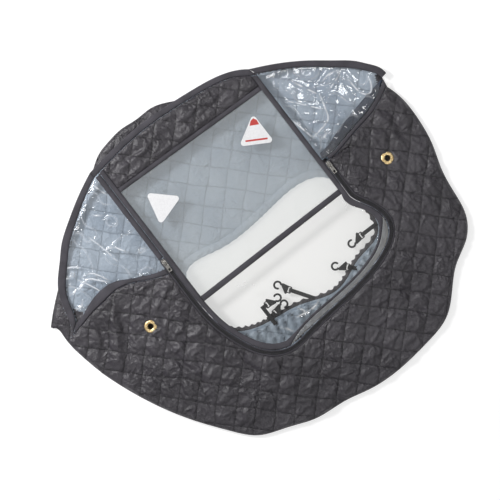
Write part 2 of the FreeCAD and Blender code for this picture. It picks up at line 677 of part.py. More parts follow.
def build_hook(name, pivot, angle, level, flip):
    """A moulded hook: slotted plate with a slanting front, and an open curl from its corner."""
    body = new_body(name)
    plate = polygon([(x, y * flip) for x, y in [
        (BAR_HALF, -PLATE_HALF + 1.5), (0, -PLATE_HALF), (-SLOT_END - 1.5, -PLATE_HALF),
        (-19.5, -8.6), (-21.5, -6.5), (-20.2, -2.5), (-10.5, 8.6), (-9.2, 10.2), (-7.4, 10.6),
        (-5, PLATE_HALF), (0, PLATE_HALF), (BAR_HALF, PLATE_HALF - 1.5)]])
    slot = polygon([(-SLOT_END, -SLOT_HALF), (-BAR_HALF, -SLOT_HALF), (-BAR_HALF, SLOT_HALF),
                    (-SLOT_END, SLOT_HALF)])
    add_pad(body, name + "_plate", plate + slot, "sizes.hook_thick")
    centre = (CURL_CENTRE[0], CURL_CENTRE[1] * flip)
    start, stop = 62 * flip, 345 * flip
    half = (start + stop) / 2
    tip, root = (CURL_OUTER + CURL_INNER) / 2, CURL_INNER
    cap = arc_point(centre, tip, start - 14 * flip)
    curl = [
        Part.Arc(arc_point(centre, CURL_OUTER, start), arc_point(centre, CURL_OUTER, half),
                 arc_point(centre, CURL_OUTER, stop)),
        Part.LineSegment(arc_point(centre, CURL_OUTER, stop), arc_point(centre, root, stop)),
        Part.Arc(arc_point(centre, CURL_INNER, stop), arc_point(centre, CURL_INNER, half),
                 arc_point(centre, CURL_INNER, start)),
        Part.Arc(arc_point(centre, CURL_INNER, start), cap, arc_point(centre, CURL_OUTER, start)),
    ]
    add_pad(body, name + "_curl", curl, "sizes.hook_thick")
    body.Placement = Placement(Vector(pivot[0], pivot[1], 0), Rotation(Vector(0, 0, 1), angle))
    body.setExpression(".Placement.Base.z", "sizes." + level)
    PARTS.append(body)


def build_webbing(name, pivot, angle, level, turn):
    """A webbing loop round the hook's bar, with a tail that lies on the hem casing."""
    body = new_body(name)
    thick, half = size("webbing_thick"), size("webbing_wide") / 2
    low, high = -LOOP_GAP, size("hook_thick") + LOOP_GAP
    inner = rounded_rectangle(-LOOP_INNER, low, LOOP_INNER, high, 0.8)
    outer = rounded_rectangle(-LOOP_INNER - thick, low - thick, LOOP_INNER + thick, high + thick, 1.5)
    add_pad(body, name + "_loop", inner + outer, "sizes.webbing_wide", role="XZ_Plane", both_ways=True)
    start = LOOP_INNER + thick / 2
    turn_angle, length = turn
    if turn_angle == 0:
        tail = [(start, -half), (start + length, -half), (start + length, half), (start, half)]
    else:
        side = math.copysign(1, turn_angle)
        lean = math.radians(90 - abs(turn_angle))
        reach = (start + 2 * half + length * math.sin(lean), side * (half + length * math.cos(lean)))
        tail = [(start, -half * side), (start + 2 * half, -half * side), reach,
                (reach[0] - 2 * half, reach[1]), (start, half * side)]
    rise = f"(sizes.{level} - sizes.casing_high - {CASING_GAP})"
    if level == "hook_z":
        add_pad(body, name + "_tail", polygon(tail), rise, f"-{rise} - {WEBBING_BITE}")
    else:
        add_pad(body, name + "_tail", polygon(tail), "sizes.webbing_thick + 0.1",
                f"-{LOOP_GAP} - sizes.webbing_thick")
        end_x, end_y = tail[3]
        back = end_y - STACK_LONG * math.copysign(1, end_y)
        stack = polygon([(end_x, end_y), (end_x + 2 * half, end_y), (end_x + 2 * half, back),
                         (end_x, back)])
        add_pad(body, name + "_stack", stack, rise, f"-{rise} - {WEBBING_BITE}")
    body.Placement = Placement(Vector(pivot[0], pivot[1], 0), Rotation(Vector(0, 0, 1), angle))
    body.setExpression(".Placement.Base.z", "sizes." + level)
    PARTS.append(body)


# ---------------------------------------------------------------- build, test and write


def build_all():
    build_back()
    build_hem()
    places = build_skirt()
    for side, place in places.items():
        build_eyelet(side, place)
        build_washer(side, place)
        axis = place.Rotation.multVec(Vector(0, 0, 1))
        print("eyelet", side, "at", tuple(place.Base), "axis", tuple(axis))
    build_side_windows()
    build_seams()
    build_band()
    build_upper_panel()
    build_sticker("sticker_left", -92.5, 188, -13)
    build_sticker("sticker_right", 139, 187, 180)
    build_flap()
    build_zip()
    build_slider("left", PANEL_LEFT - ZIP_MIDDLE, SLIDER_LEFT_Y, 1)
    build_slider("right", PANEL_RIGHT + ZIP_MIDDLE, SLIDER_RIGHT_Y, -1)
    build_pull("left", PANEL_LEFT - ZIP_MIDDLE, SLIDER_LEFT_Y)
    build_pull("right", PANEL_RIGHT + ZIP_MIDDLE, SLIDER_RIGHT_Y)
    for name, pivot, angle, level, turn, flip in HOOKS:
        build_hook(name, pivot, angle, level, flip)
        build_webbing(name.replace("hook", "hook_webbing"), pivot, angle, level, turn)
    doc.recompute()


def write_parts():
    for item in doc.Objects:
        bad = [state for state in item.State if state in ("Invalid", "Error")]
        if bad:
            raise RuntimeError(f"{item.Label} failed: {bad}")
    for item in PARTS:
        if item.Shape.isNull() or not item.Shape.isValid() or item.Shape.Volume <= 0:
            raise RuntimeError(f"{item.Label} has no valid solid")
    os.makedirs("parts", exist_ok=True)
    for item in PARTS:
        item.Shape.exportStep(f"parts/{item.Label}.step")
        print(f"{item.Label}: {len(item.Shape.Solids)} solid, {item.Shape.Volume:.0f} mm3")


build_all()
write_parts()
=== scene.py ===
"""The looks of a quilted stroller weather cover, lying flat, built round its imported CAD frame.

Lengths are in metres and the frame is the row's: +X across the front panel, +Y towards the
mouth at the top hem, +Z up out of the panel.
"""
import json
import math

import bmesh
import bpy
import numpy as np
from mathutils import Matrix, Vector, geometry, noise
from mathutils.bvhtree import BVHTree


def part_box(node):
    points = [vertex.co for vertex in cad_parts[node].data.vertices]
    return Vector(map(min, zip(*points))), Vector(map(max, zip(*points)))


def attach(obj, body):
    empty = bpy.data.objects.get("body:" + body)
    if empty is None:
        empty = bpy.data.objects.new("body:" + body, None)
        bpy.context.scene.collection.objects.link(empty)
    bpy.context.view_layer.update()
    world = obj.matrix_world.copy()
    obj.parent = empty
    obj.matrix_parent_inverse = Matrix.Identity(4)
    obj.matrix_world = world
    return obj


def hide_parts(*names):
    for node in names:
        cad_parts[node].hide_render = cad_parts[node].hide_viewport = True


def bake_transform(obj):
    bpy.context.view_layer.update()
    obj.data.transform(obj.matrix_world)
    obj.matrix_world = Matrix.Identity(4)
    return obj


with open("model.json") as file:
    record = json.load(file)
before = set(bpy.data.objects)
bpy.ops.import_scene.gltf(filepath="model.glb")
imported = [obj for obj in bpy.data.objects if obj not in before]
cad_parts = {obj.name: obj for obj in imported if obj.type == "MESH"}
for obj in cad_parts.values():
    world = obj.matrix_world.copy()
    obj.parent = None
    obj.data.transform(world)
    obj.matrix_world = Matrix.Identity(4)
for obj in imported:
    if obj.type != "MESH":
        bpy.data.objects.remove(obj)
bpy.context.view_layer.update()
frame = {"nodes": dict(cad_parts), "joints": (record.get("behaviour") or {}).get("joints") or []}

MM = 0.001
PITCH = 39 * MM  # the quilting squares, set at 45 degrees
HALF_TURN = math.sqrt(0.5)
FLAP_JOINT = next(j for j in frame["joints"] if j["name"] == "flap_fold")
FOLD_POINT = np.array(FLAP_JOINT["pos_m"])
FOLD_ALONG = np.array(FLAP_JOINT["axis"])
FOLD_ACROSS = np.array([-FOLD_ALONG[1], FOLD_ALONG[0], 0.0])  # towards the flap
if FOLD_ACROSS[1] > 0:
    FOLD_ACROSS = -FOLD_ACROSS
FOLD_SNAP = 0.6 * MM

# ---------------------------------------------------------------- shader helpers


class Shader:
    """A node material, with short calls for the nodes that it needs."""

    def __init__(self, name):
        self.material = bpy.data.materials.new(name)
        self.material.use_nodes = True
        self.nodes = self.material.node_tree.nodes
        self.principled = self.nodes["Principled BSDF"]
        self.place = self.add("ShaderNodeTexCoord").outputs["Object"]

    def add(self, kind, **values):
        node = self.nodes.new(kind)
        for key, value in values.items():
            setattr(node, key, value)
        return node

    def link(self, source, socket):
        if isinstance(source, (int, float, tuple)):
            socket.default_value = source
        else:
            self.material.node_tree.links.new(source, socket)

    def math(self, operation, *sources):
        node = self.add("ShaderNodeMath", operation=operation)
        for source, socket in zip(sources, node.inputs):
            self.link(source, socket)
        return node.outputs[0]

    def noise(self, scale, detail=3.0, rough=0.5, distort=0.0, place=None):
        node = self.add("ShaderNodeTexNoise")
        self.link(place or self.place, node.inputs["Vector"])
        for key, value in (("Scale", scale), ("Detail", detail), ("Roughness", rough),
                           ("Distortion", distort)):
            node.inputs[key].default_value = value
        return node.outputs["Fac"]

    def mapped(self, scale, turn=0.0):
        node = self.add("ShaderNodeMapping")
        self.link(self.place, node.inputs["Vector"])
        node.inputs["Rotation"].default_value = (0, 0, turn)
        node.inputs["Scale"].default_value = scale if isinstance(scale, tuple) else (scale,) * 3
        return node.outputs["Vector"]

    def split(self, vector):
        node = self.add("ShaderNodeSeparateXYZ")
        self.link(vector, node.inputs[0])
        return node.outputs

    def ramp(self, source, low, high, start=0.0, end=1.0, smooth=True):
        node = self.add("ShaderNodeMapRange")
        node.interpolation_type = "SMOOTHSTEP" if smooth else "LINEAR"
        for key, value in (("Value", source), ("From Min", low), ("From Max", high),
                           ("To Min", start), ("To Max", end)):
            self.link(value, node.inputs[key])
        return node.outputs["Result"]

    def attribute(self, name):
        """A number that the mesh stores at its points."""
        return self.add("ShaderNodeAttribute", attribute_name=name).outputs["Fac"]

    def ridges(self, scale, width, distort=0.0, place=None):
        """Sharp wandering creases: 1 along them, falling to 0 beside them."""
        soft = self.noise(scale, 2.0, 0.5, distort, place)
        away = self.math("ABSOLUTE", self.math("SUBTRACT", soft, 0.5))
        return self.ramp(away, 0.0, width, 1.0, 0.0, smooth=False)

    def mix(self, factor, first, second):
        node = self.add("ShaderNodeMix", data_type="RGBA")
        self.link(factor, node.inputs["Factor"])
        self.link(first, node.inputs["A"])
        self.link(second, node.inputs["B"])
        return node.outputs["Result"]

    def bump(self, height, distance, strength=1.0, normal=None):
        node = self.add("ShaderNodeBump")
        self.link(height, node.inputs["Height"])
        node.inputs["Distance"].default_value = distance
        node.inputs["Strength"].default_value = strength
        if normal is not None:
            self.link(normal, node.inputs["Normal"])
        return node.outputs["Normal"]

    def set(self, **values):
        for key, value in values.items():
            self.link(value, self.principled.inputs[key.replace("_", " ")])


def rgb(red, green, blue):
    """A colour from its screen values, 0 to 255."""
    linear = [((c / 255 + 0.055) / 1.055) ** 2.4 for c in (red, green, blue)]
    return (*linear, 1.0)


def faded(colour, share):
    """The colour with its brightness multiplied by that share."""
    return tuple(share * c for c in colour[:3]) + (1.0,)


def weave(shader, pitch, turn=0.0):
    """A plain weave: two sets of fine threads at right angles."""
    threads = shader.split(shader.mapped(2 * math.pi / pitch, turn))
    waves = [shader.math("SINE", threads[i]) for i in (0, 1)]
    return shader.math("MULTIPLY", *waves)


def quilted_cloth(name, colour, deep, rough, sheen, stitch_shade, crumple):
    """Woven cloth with stitched diamonds: painted shade along the stitch lines and in the valleys of
    gathered folds, with fine creases.
    """
    shader = Shader(name)
    distance = shader.attribute("stitch_gap")
    wear_and_shade_patches = shader.noise(70.0, 2.0)
    seam = shader.ramp(distance, 0.3 * MM, 2.0 * MM, 1.0, 0.0)
    thread = shader.ramp(distance, 0.2 * MM, 0.6 * MM, 1.0, 0.0)
    cloud = shader.noise(9.0, 4.0, 0.6)
    patch = shader.ramp(cloud, 0.35, 0.65)
    base = shader.mix(patch, deep, colour)
    # Painted shade: a band about 2 mm wide each side of every stitch line, where the cloth dips
    # between its puffs, is darkened, more deeply in some patches than others.
    shade = shader.math("MULTIPLY", seam, shader.ramp(wear_and_shade_patches, 0.3, 0.7, 0.2, stitch_shade))
    base = shader.mix(shade, base, faded(deep, 0.25))
    # Painted shade: the valleys between gathered folds are darkened by the stored number.
    base = shader.mix(shader.attribute("fold_shade"), base, faded(deep, 0.22))
    shader.set(Base_Color=base, Roughness=rough, Specular_IOR_Level=0.45)
    shader.set(Sheen_Weight=sheen, Sheen_Roughness=0.4, Sheen_Tint=(0.85, 0.85, 0.95, 1.0))
    long_folds = shader.ridges(20.0, 0.10, 1.0)
    short_folds = shader.ridges(48.0, 0.14, 0.6)
    strong = shader.ramp(shader.noise(14.0, 2.0), 0.42, 0.62)
    folds = shader.math("MULTIPLY", shader.math("ADD", long_folds, short_folds), strong)
    wrinkles = shader.noise(75.0, 5.0, 0.62, 1.2)
    height = shader.math("ADD", wrinkles, shader.math("MULTIPLY", folds, 0.55))
    height = shader.math("ADD", height, shader.math("MULTIPLY", thread, -0.7))
    normal = shader.bump(height, crumple, 0.8)
    normal = shader.bump(weave(shader, 0.7 * MM, math.pi / 4), 0.05 * MM, 0.35, normal)
    shader.set(Normal=normal)
    return shader.material


def tape_cloth(name, colour):
    """Ribbed binding tape."""
    shader = Shader(name)
    cloud = shader.ramp(shader.noise(30.0, 3.0), 0.3, 0.7)
    shader.set(Base_Color=shader.mix(cloud, colour, faded(colour, 1.45)), Roughness=0.72)
    shader.set(Specular_IOR_Level=0.3, Sheen_Weight=0.15, Sheen_Roughness=0.5)
    normal = shader.bump(weave(shader, 1.1 * MM), 0.12 * MM, 0.6)
    normal = shader.bump(shader.noise(120.0, 3.0, 0.6), 0.5 * MM, 0.4, normal)
    shader.set(Normal=normal)
    return shader.material


def film(name, tint, haze, haze_colour, rough, wrinkle, fine):
    """Vinyl film: part clear, part hazy, whiter where it is creased (the milkiness of creased vinyl
    and painted highlights), with a glossy skin.
    """
    shader = Shader(name)
    cloud = shader.noise(7.0, 3.0)
    normal = shader.bump(shader.noise(28.0, 4.0, 0.55, 0.8), wrinkle, 0.6)
    normal = shader.bump(shader.noise(160.0, 2.0), fine, 0.4, normal)
    clear = shader.add("ShaderNodeBsdfTransparent")
    clear.inputs["Color"].default_value = tint
    lit = shader.add("ShaderNodeBsdfDiffuse")
    lit.inputs["Color"].default_value = haze_colour
    glow = shader.add("ShaderNodeBsdfTranslucent")
    glow.inputs["Color"].default_value = haze_colour
    milky = shader.add("ShaderNodeMixShader")
    milky.inputs["Fac"].default_value = 0.5
    shader.link(lit.outputs[0], milky.inputs[1])
    shader.link(glow.outputs[0], milky.inputs[2])
    # Painted highlight: the creases are painted white, partly as creased vinyl turns milky, partly
    # standing in for the glints along them.
    stress_white_and_highlight = shader.math("MULTIPLY", shader.attribute("crease"), 0.97)
    low, high = haze
    share = shader.math("MAXIMUM", shader.ramp(cloud, 0.3, 0.7, low, high), stress_white_and_highlight)
    body = shader.add("ShaderNodeMixShader")
    shader.link(share, body.inputs["Fac"])
    shader.link(clear.outputs[0], body.inputs[1])
    shader.link(milky.outputs[0], body.inputs[2])
    gloss = shader.add("ShaderNodeBsdfGlossy")
    gloss.inputs["Roughness"].default_value = rough
    shader.link(normal, gloss.inputs["Normal"])
    facing = shader.add("ShaderNodeFresnel")
    facing.inputs["IOR"].default_value = 1.5
    shader.link(normal, facing.inputs["Normal"])
    inner_side = shader.add("ShaderNodeNewGeometry").outputs["Backfacing"]
    outside = shader.math("SUBTRACT", 1.0, inner_side)
    skin = shader.add("ShaderNodeMixShader")
    shader.link(shader.math("MULTIPLY", facing.outputs[0], outside), skin.inputs["Fac"])
    shader.link(body.outputs[0], skin.inputs[1])
    shader.link(gloss.outputs[0], skin.inputs[2])
    output = shader.nodes["Material Output"]
    shader.link(skin.outputs[0], output.inputs["Surface"])
    shader.nodes.remove(shader.principled)
    return shader.material


def metal(name, colour, dark, rough):
    """Plated metal: duller in patches, with fine scratches."""
    shader = Shader(name)
    wear_and_shade_patches = shader.ramp(shader.noise(260.0, 4.0, 0.6), 0.42, 0.68)
    shader.set(Base_Color=shader.mix(wear_and_shade_patches, colour, dark), Metallic=1.0)
    shader.set(Roughness=shader.ramp(wear_and_shade_patches, 0.0, 1.0, rough, rough + 0.2))
    scratch = shader.noise(900.0, 2.0, 0.5, 0.0, shader.mapped((1.0, 0.08, 1.0), 0.5))
    shader.set(Normal=shader.bump(scratch, 0.05 * MM, 0.35))
    return shader.material


def moulded(name, colour, rough, grain=0.08):
    """Moulded plastic with a faint grain and rubbed patches."""
    shader = Shader(name)
    rub = shader.ramp(shader.noise(140.0, 4.0, 0.6), 0.35, 0.7)
    lighter = tuple(c * 1.8 + 0.004 for c in colour[:3]) + (1.0,)
    shader.set(Base_Color=shader.mix(rub, colour, lighter))
    shader.set(Roughness=shader.ramp(rub, 0.0, 1.0, rough, rough + 0.15))
    shader.set(Normal=shader.bump(shader.noise(1400.0, 2.0), grain * MM, 0.5))
    return shader.material


def label_film(name, colour):
    """Printed label film with a soft gloss."""
    shader = Shader(name)
    speck = shader.ramp(shader.noise(300.0, 3.0), 0.4, 0.62)
    shader.set(Base_Color=shader.mix(speck, colour, faded(colour, 0.94)), Roughness=0.38)
    shader.set(Normal=shader.bump(shader.noise(90.0, 2.0), 0.3 * MM, 0.3))
    return shader.material


QUILT = quilted_cloth("quilt_cloth", rgb(60, 57, 63), rgb(44, 41, 47), rough=0.4, sheen=0.1,
                      stitch_shade=0.9, crumple=2.4 * MM)
LINING = quilted_cloth("lining_cloth", rgb(180, 192, 205), rgb(160, 174, 190), rough=0.5, sheen=0.1,
                       stitch_shade=0.32, crumple=3.0 * MM)
# A darker copy of the lining cloth: painted shade for the lining lying in shadow under the right
# wing's film.
SHADED_LINING = quilted_cloth("lining_cloth_shaded", rgb(52, 62, 80), rgb(34, 42, 58), rough=0.5, sheen=0.15,
                       stitch_shade=0.6, crumple=2.6 * MM)
TAPE = tape_cloth("binding_cloth", rgb(60, 58, 64))
WEBBING = tape_cloth("webbing_cloth", rgb(36, 36, 38))
THREAD = tape_cloth("stitch_thread", rgb(72, 70, 76))
CLEAR = film("clear_vinyl", tint=(0.93, 0.934, 0.938, 1.0), haze=(0.02, 0.07),
             haze_colour=rgb(250, 252, 255), rough=0.09, wrinkle=0.3 * MM, fine=0.05 * MM)
PANE = film("pane_vinyl", tint=(0.925, 0.925, 0.92, 1.0), haze=(0.0, 0.02),
            haze_colour=rgb(250, 250, 250), rough=0.09, wrinkle=0.4 * MM, fine=0.05 * MM)
FROSTED = film("frosted_vinyl", tint=(0.925, 0.925, 0.918, 1.0), haze=(0.16, 0.22),
               haze_colour=rgb(240, 243, 244), rough=0.3, wrinkle=0.8 * MM, fine=0.1 * MM)
GUSSET = film("gusset_vinyl", tint=(0.9, 0.9, 0.9, 1.0), haze=(0.35, 0.5),
              haze_colour=rgb(176, 174, 172), rough=0.2, wrinkle=0.8 * MM, fine=0.1 * MM)
BRASS = metal("aged_brass", rgb(216, 192, 144), rgb(168, 142, 98), 0.34)
NICKEL = metal("satin_nickel", rgb(168, 166, 162), rgb(112, 110, 106), 0.26)
BLACK = moulded("black_nylon", rgb(17, 18, 20), 0.34)
COIL = moulded("zip_nylon", rgb(38, 37, 41), 0.45)
ELASTIC = tape_cloth("elastic_cloth", rgb(190, 188, 184))
LABEL = label_film("label_white", rgb(236, 236, 238))
PRINT = label_film("label_red", rgb(196, 62, 56))

# ---------------------------------------------------------------- outlines read from CAD nodes


def top_edges(node):
    """The edges round a CAD node's upper faces, as pairs of points."""
    bm = bmesh.new()
    bm.from_mesh(frame["nodes"][node].data)
    bmesh.ops.remove_doubles(bm, verts=bm.verts, dist=1e-6)
    bm.normal_update()
    upper = {f for f in bm.faces if f.normal.z > 0.5}
    edges = [tuple(np.array(v.co) for v in e.verts) for e in bm.edges
             if sum(f in upper for f in e.link_faces) == 1]
    bm.free()
    return edges


def snapped(point):
    """The point, moved onto the fold line if it is as near as the gap there."""
    across = float(np.dot(point - FOLD_POINT, FOLD_ACROSS))
    if abs(across) > FOLD_SNAP:
        return point
    moved = point.copy()
    moved[1] -= across / FOLD_ACROSS[1]
    return moved


def outlines(*nodes):
    """The closed outlines of the nodes' tops taken together, longest first."""
    places, links, count = {}, {}, {}
    for node in nodes:
        for pair in top_edges(node):
            keys = []
            for point in map(snapped, pair) if len(nodes) > 1 else pair:
                key = tuple(np.round(point[:2] / (0.05 * MM)).astype(int))
                places.setdefault(key, point)
                keys.append(key)
            edge = frozenset(keys)
            count[edge] = count.get(edge, 0) + 1
    for edge, times in count.items():
        if times == 1 and len(edge) == 2:
            a, b = edge
            links.setdefault(a, []).append(b)
            links.setdefault(b, []).append(a)
    loops = []
    while links:
        start = next(iter(links))
        loop, here = [start], start
        while links.get(here):
            ahead = links[here].pop()
            links[ahead].remove(here)
            here = ahead
            loop.append(here)
        for key in loop:
            if not links.get(key):
                links.pop(key, None)
        if len(loop) > 3:
            loops.append(np.array([places[key] for key in loop[:-1]]))
    return sorted(loops, key=lambda loop: -length_of(loop))


def length_of(loop):
    return float(np.linalg.norm(np.roll(loop, -1, axis=0) - loop, axis=1).sum())


def signed_area(loop):
    """The loop's area in plan, negative if it runs clockwise."""
    x, y = loop[:, 0], loop[:, 1]
    return float(np.dot(x, np.roll(y, -1)) - np.dot(y, np.roll(x, -1))) / 2


def stepped(points, step):
    """The closed line with points at about even steps, keeping its corners."""
    result = []
    for a, b in zip(points, np.roll(points, -1, axis=0)):
        pieces = max(1, round(float(np.linalg.norm(b - a)) / step))
        result += [a + (b - a) * i / pieces for i in range(pieces)]
    kept = [result[0]]
    for point in result[1:]:
        if np.linalg.norm(point - kept[-1]) > step * 0.45:
            kept.append(point)
    return np.array(kept)


def evenly(points, step):
    """Points exactly evenly spaced along an open line."""
    runs = np.linalg.norm(np.diff(points, axis=0), axis=1)
    total = np.concatenate([[0], np.cumsum(runs)])
    places = np.linspace(0, total[-1], max(2, round(total[-1] / step) + 1))
    return np.column_stack([np.interp(places, total, points[:, i]) for i in range(3)])


def inside(loops, points):
    """Which points lie inside the loops, holes taken out."""
    result = np.zeros(len(points), bool)
    x, y = points[:, 0], points[:, 1]
    for loop in loops:
        for a, b in zip(loop, np.roll(loop, -1, axis=0)):
            if a[1] == b[1]:
                continue
            crosses = (a[1] > y) != (b[1] > y)
            result ^= crosses & (x < (b[0] - a[0]) * (y - a[1]) / (b[1] - a[1]) + a[0])
    return result


def distance_to(line, points, closed=True):
    """Each point's distance, in plan, from a line."""
    ends = np.roll(line, -1, axis=0) if closed else line[1:]
    best = np.full(len(points), 1e9)
    for a, b in zip(line[:, :2], ends[:, :2]):
        along = b - a
        size = float(along @ along)
        if size < 1e-14:
            continue
        t = np.clip((points[:, :2] - a) @ along / size, 0, 1)
        gap = points[:, :2] - a - t[:, None] * along
        best = np.minimum(best, np.hypot(gap[:, 0], gap[:, 1]))
    return best


def directions(line):
    """At each point of an open line: the way ahead, and the way to the left, in plan."""
    ahead = np.gradient(line, axis=0)
    ahead /= np.maximum(np.linalg.norm(ahead, axis=1, keepdims=True), 1e-9)
    return ahead, np.column_stack([-ahead[:, 1], ahead[:, 0], np.zeros(len(line))])


def along_quilting(points):
    """The points' places along the two directions of the quilting, 45 degrees from the frame's."""
    x, y = points[:, 0], points[:, 1]
    return (x - y) * HALF_TURN, (x + y) * HALF_TURN


def surfaces(nodes):
    """The CAD nodes' faces, ready for casting rays at them."""
    meshes = [frame["nodes"][node].data for node in nodes]
    return [BVHTree.FromPolygons([v.co for v in mesh.vertices],
                                 [p.vertices[:] for p in mesh.polygons]) for mesh in meshes]


def smooth_noise(points, size, seed=0.0):
    """Soft noise from about -1 to 1, with features of that size."""
    return np.array([noise.noise(Vector((p[0] / size, p[1] / size, seed))) for p in points])


def ridged(points, size, seed=0.0):
    """Sharp creases: 1 along wandering lines, falling to 0 beside them."""
    return 1 - np.minimum(1, np.abs(smooth_noise(points, size, seed)) * 2.6)


# ---------------------------------------------------------------- sheets filled from outlines


class Sheet:
    """A flat mesh inside some outlines, on a grid turned with the quilting."""

    def __init__(self, nodes, step, turned=True, loops=None):
        self.nodes = nodes
        self.step = step
        self.loops = loops or outlines(*nodes)
        rims = [stepped(loop, step) for loop in self.loops]
        rim = np.vstack(rims)
        grid = self.grid(turned)
        plan = np.vstack([rim[:, :2], grid])
        edges, start = [], 0
        for line in rims:
            count = len(line)
            edges += [(start + i, start + (i + 1) % count) for i in range(count)]
            start += count
        made = geometry.delaunay_2d_cdt([Vector(p) for p in plan.tolist()], edges, [], 0, 1e-7)
        points = np.array([tuple(p) for p in made[0]])
        faces = np.array([f for f in made[2] if len(f) == 3])
        middles = points[faces].mean(axis=1)
        self.faces = faces[inside(self.loops, middles)]
        used = np.unique(self.faces)
        renumber = -np.ones(len(points), int)
        renumber[used] = np.arange(len(used))
        self.faces = renumber[self.faces]
        plan = points[used]
        origins = [made[3][i] for i in used]
        heights = self.heights(plan, rim, origins)
        self.points = np.column_stack([plan, heights])
        self.edge = np.min([distance_to(loop, self.points) for loop in self.loops], axis=0)
        self.rim = np.array([bool(o) and min(o) < len(rim) for o in origins])

    def grid(self, turned):
        low = np.min([loop.min(axis=0) for loop in self.loops], axis=0)[:2]
        high = np.max([loop.max(axis=0) for loop in self.loops], axis=0)[:2]
        if turned:
            reach = (high - low).sum() / self.step
            middle = (low + high) / 2
            base = np.round(np.array([middle @ (1, 1), middle @ (-1, 1)]) * HALF_TURN / self.step)
            count = np.arange(-int(reach / 1.3), int(reach / 1.3) + 1)
            u, v = np.meshgrid((base[0] + count) * self.step, (base[1] + count) * self.step)
            x, y = (u - v) * HALF_TURN, (u + v) * HALF_TURN
        else:
            x, y = np.meshgrid(np.arange(low[0], high[0], self.step),
                               np.arange(low[1], high[1], self.step))
        grid = np.column_stack([x.ravel(), y.ravel()])
        inbox = np.all((grid > low) & (grid < high), axis=1)
        grid = grid[inbox]
        grid = grid[inside(self.loops, grid)]
        gap = np.min([distance_to(loop, grid) for loop in self.loops], axis=0)
        return grid[gap > 0.55 * self.step]

    def heights(self, plan, rim, origins):
        trees = surfaces(self.nodes)
        down = Vector((0, 0, -1))
        result = np.zeros(len(plan))
        for i, (x, y) in enumerate(plan):
            own = [o for o in origins[i] if o < len(rim)]
            if own:
                result[i] = rim[own[0]][2]
                continue
            hits = [tree.ray_cast(Vector((x, y, 1.0)), down)[0] for tree in trees]
            found = [hit.z for hit in hits if hit is not None]
            result[i] = max(found) if found else np.nan
        missing = np.isnan(result)
        for i in np.nonzero(missing)[0]:
            gaps = np.hypot(*(rim[:, :2] - plan[i]).T)
            result[i] = rim[int(gaps.argmin())][2]
        return result

    def stitch_gap(self):
        """Distance of each point from the nearest quilting line."""
        u, v = (place / PITCH for place in along_quilting(self.points))
        return PITCH * np.minimum(np.abs(u - np.round(u)), np.abs(v - np.round(v)))

    def puffs(self):
        """The plain puffs between quilting lines, from 0 on a line to 1 between."""
        u, v = (place / PITCH for place in along_quilting(self.points))
        return np.sqrt(np.abs(np.sin(math.pi * u) * np.sin(math.pi * v)))


def mesh_object(name, points, faces, material, smooth=True):
    mesh = bpy.data.meshes.new(name)
    mesh.from_pydata([tuple(p) for p in points], [], [tuple(int(i) for i in f) for f in faces])
    mesh.validate()
    if smooth:
        mesh.shade_smooth()
    mesh.materials.append(material)
    piece = bpy.data.objects.new(name, mesh)
    bpy.context.scene.collection.objects.link(piece)
    return piece


def marked(piece, name, values):
    """Stores a number at each of the piece's points, for its material to read."""
    layer = piece.data.attributes.new(name, "FLOAT", "POINT")
    layer.data.foreach_set("value", values)


def warped(sheet, points):
    """The points drawn a few millimetres out of true, as worked cloth is."""
    free = eased(sheet, 30 * MM)
    result = points.copy()
    for i in (0, 1):
        wide = 4.0 * MM * smooth_noise(sheet.points, 75 * MM, 50.0 + 9 * i)
        narrow = 1.3 * MM * smooth_noise(sheet.points, 24 * MM, 80.0 + 9 * i)
        result[:, i] += (wide + narrow) * free
    return result


def facing_up(points, faces):
    """The triangles, each turned so that it faces up."""
    first = points[faces[:, 1]] - points[faces[:, 0]]
    second = points[faces[:, 2]] - points[faces[:, 0]]
    down = np.cross(first, second)[:, 2] < 0
    return np.where(down[:, None], faces[:, ::-1], faces)


def closed_piece(name, sheet, top, bottom, material):
    """A closed mesh between an upper and a lower set of heights or points."""
    count = len(top)
    faces = facing_up(sheet.points, sheet.faces)
    directed = np.vstack([faces[:, [0, 1]], faces[:, [1, 2]], faces[:, [2, 0]]])
    known = {tuple(e) for e in directed.tolist()}
    walls = []
    for a, b in known:
        if (b, a) not in known:
            walls += [(b, a, a + count), (b, a + count, b + count)]
    all_faces = faces.tolist() + (faces[:, ::-1] + count).tolist() + walls
    piece = mesh_object(name, np.vstack([top, bottom]), all_faces, material)
    marked(piece, "stitch_gap", np.tile(sheet.stitch_gap(), 2))
    return piece


# ---------------------------------------------------------------- cloth


CLOTH_PRESSURE = 7.0
CLOTH_GROWTH = 0.05
CLOTH_FRAMES = 16
LARGEST_MOVE = 6 * MM
LARGEST_DROP = 0.4 * MM


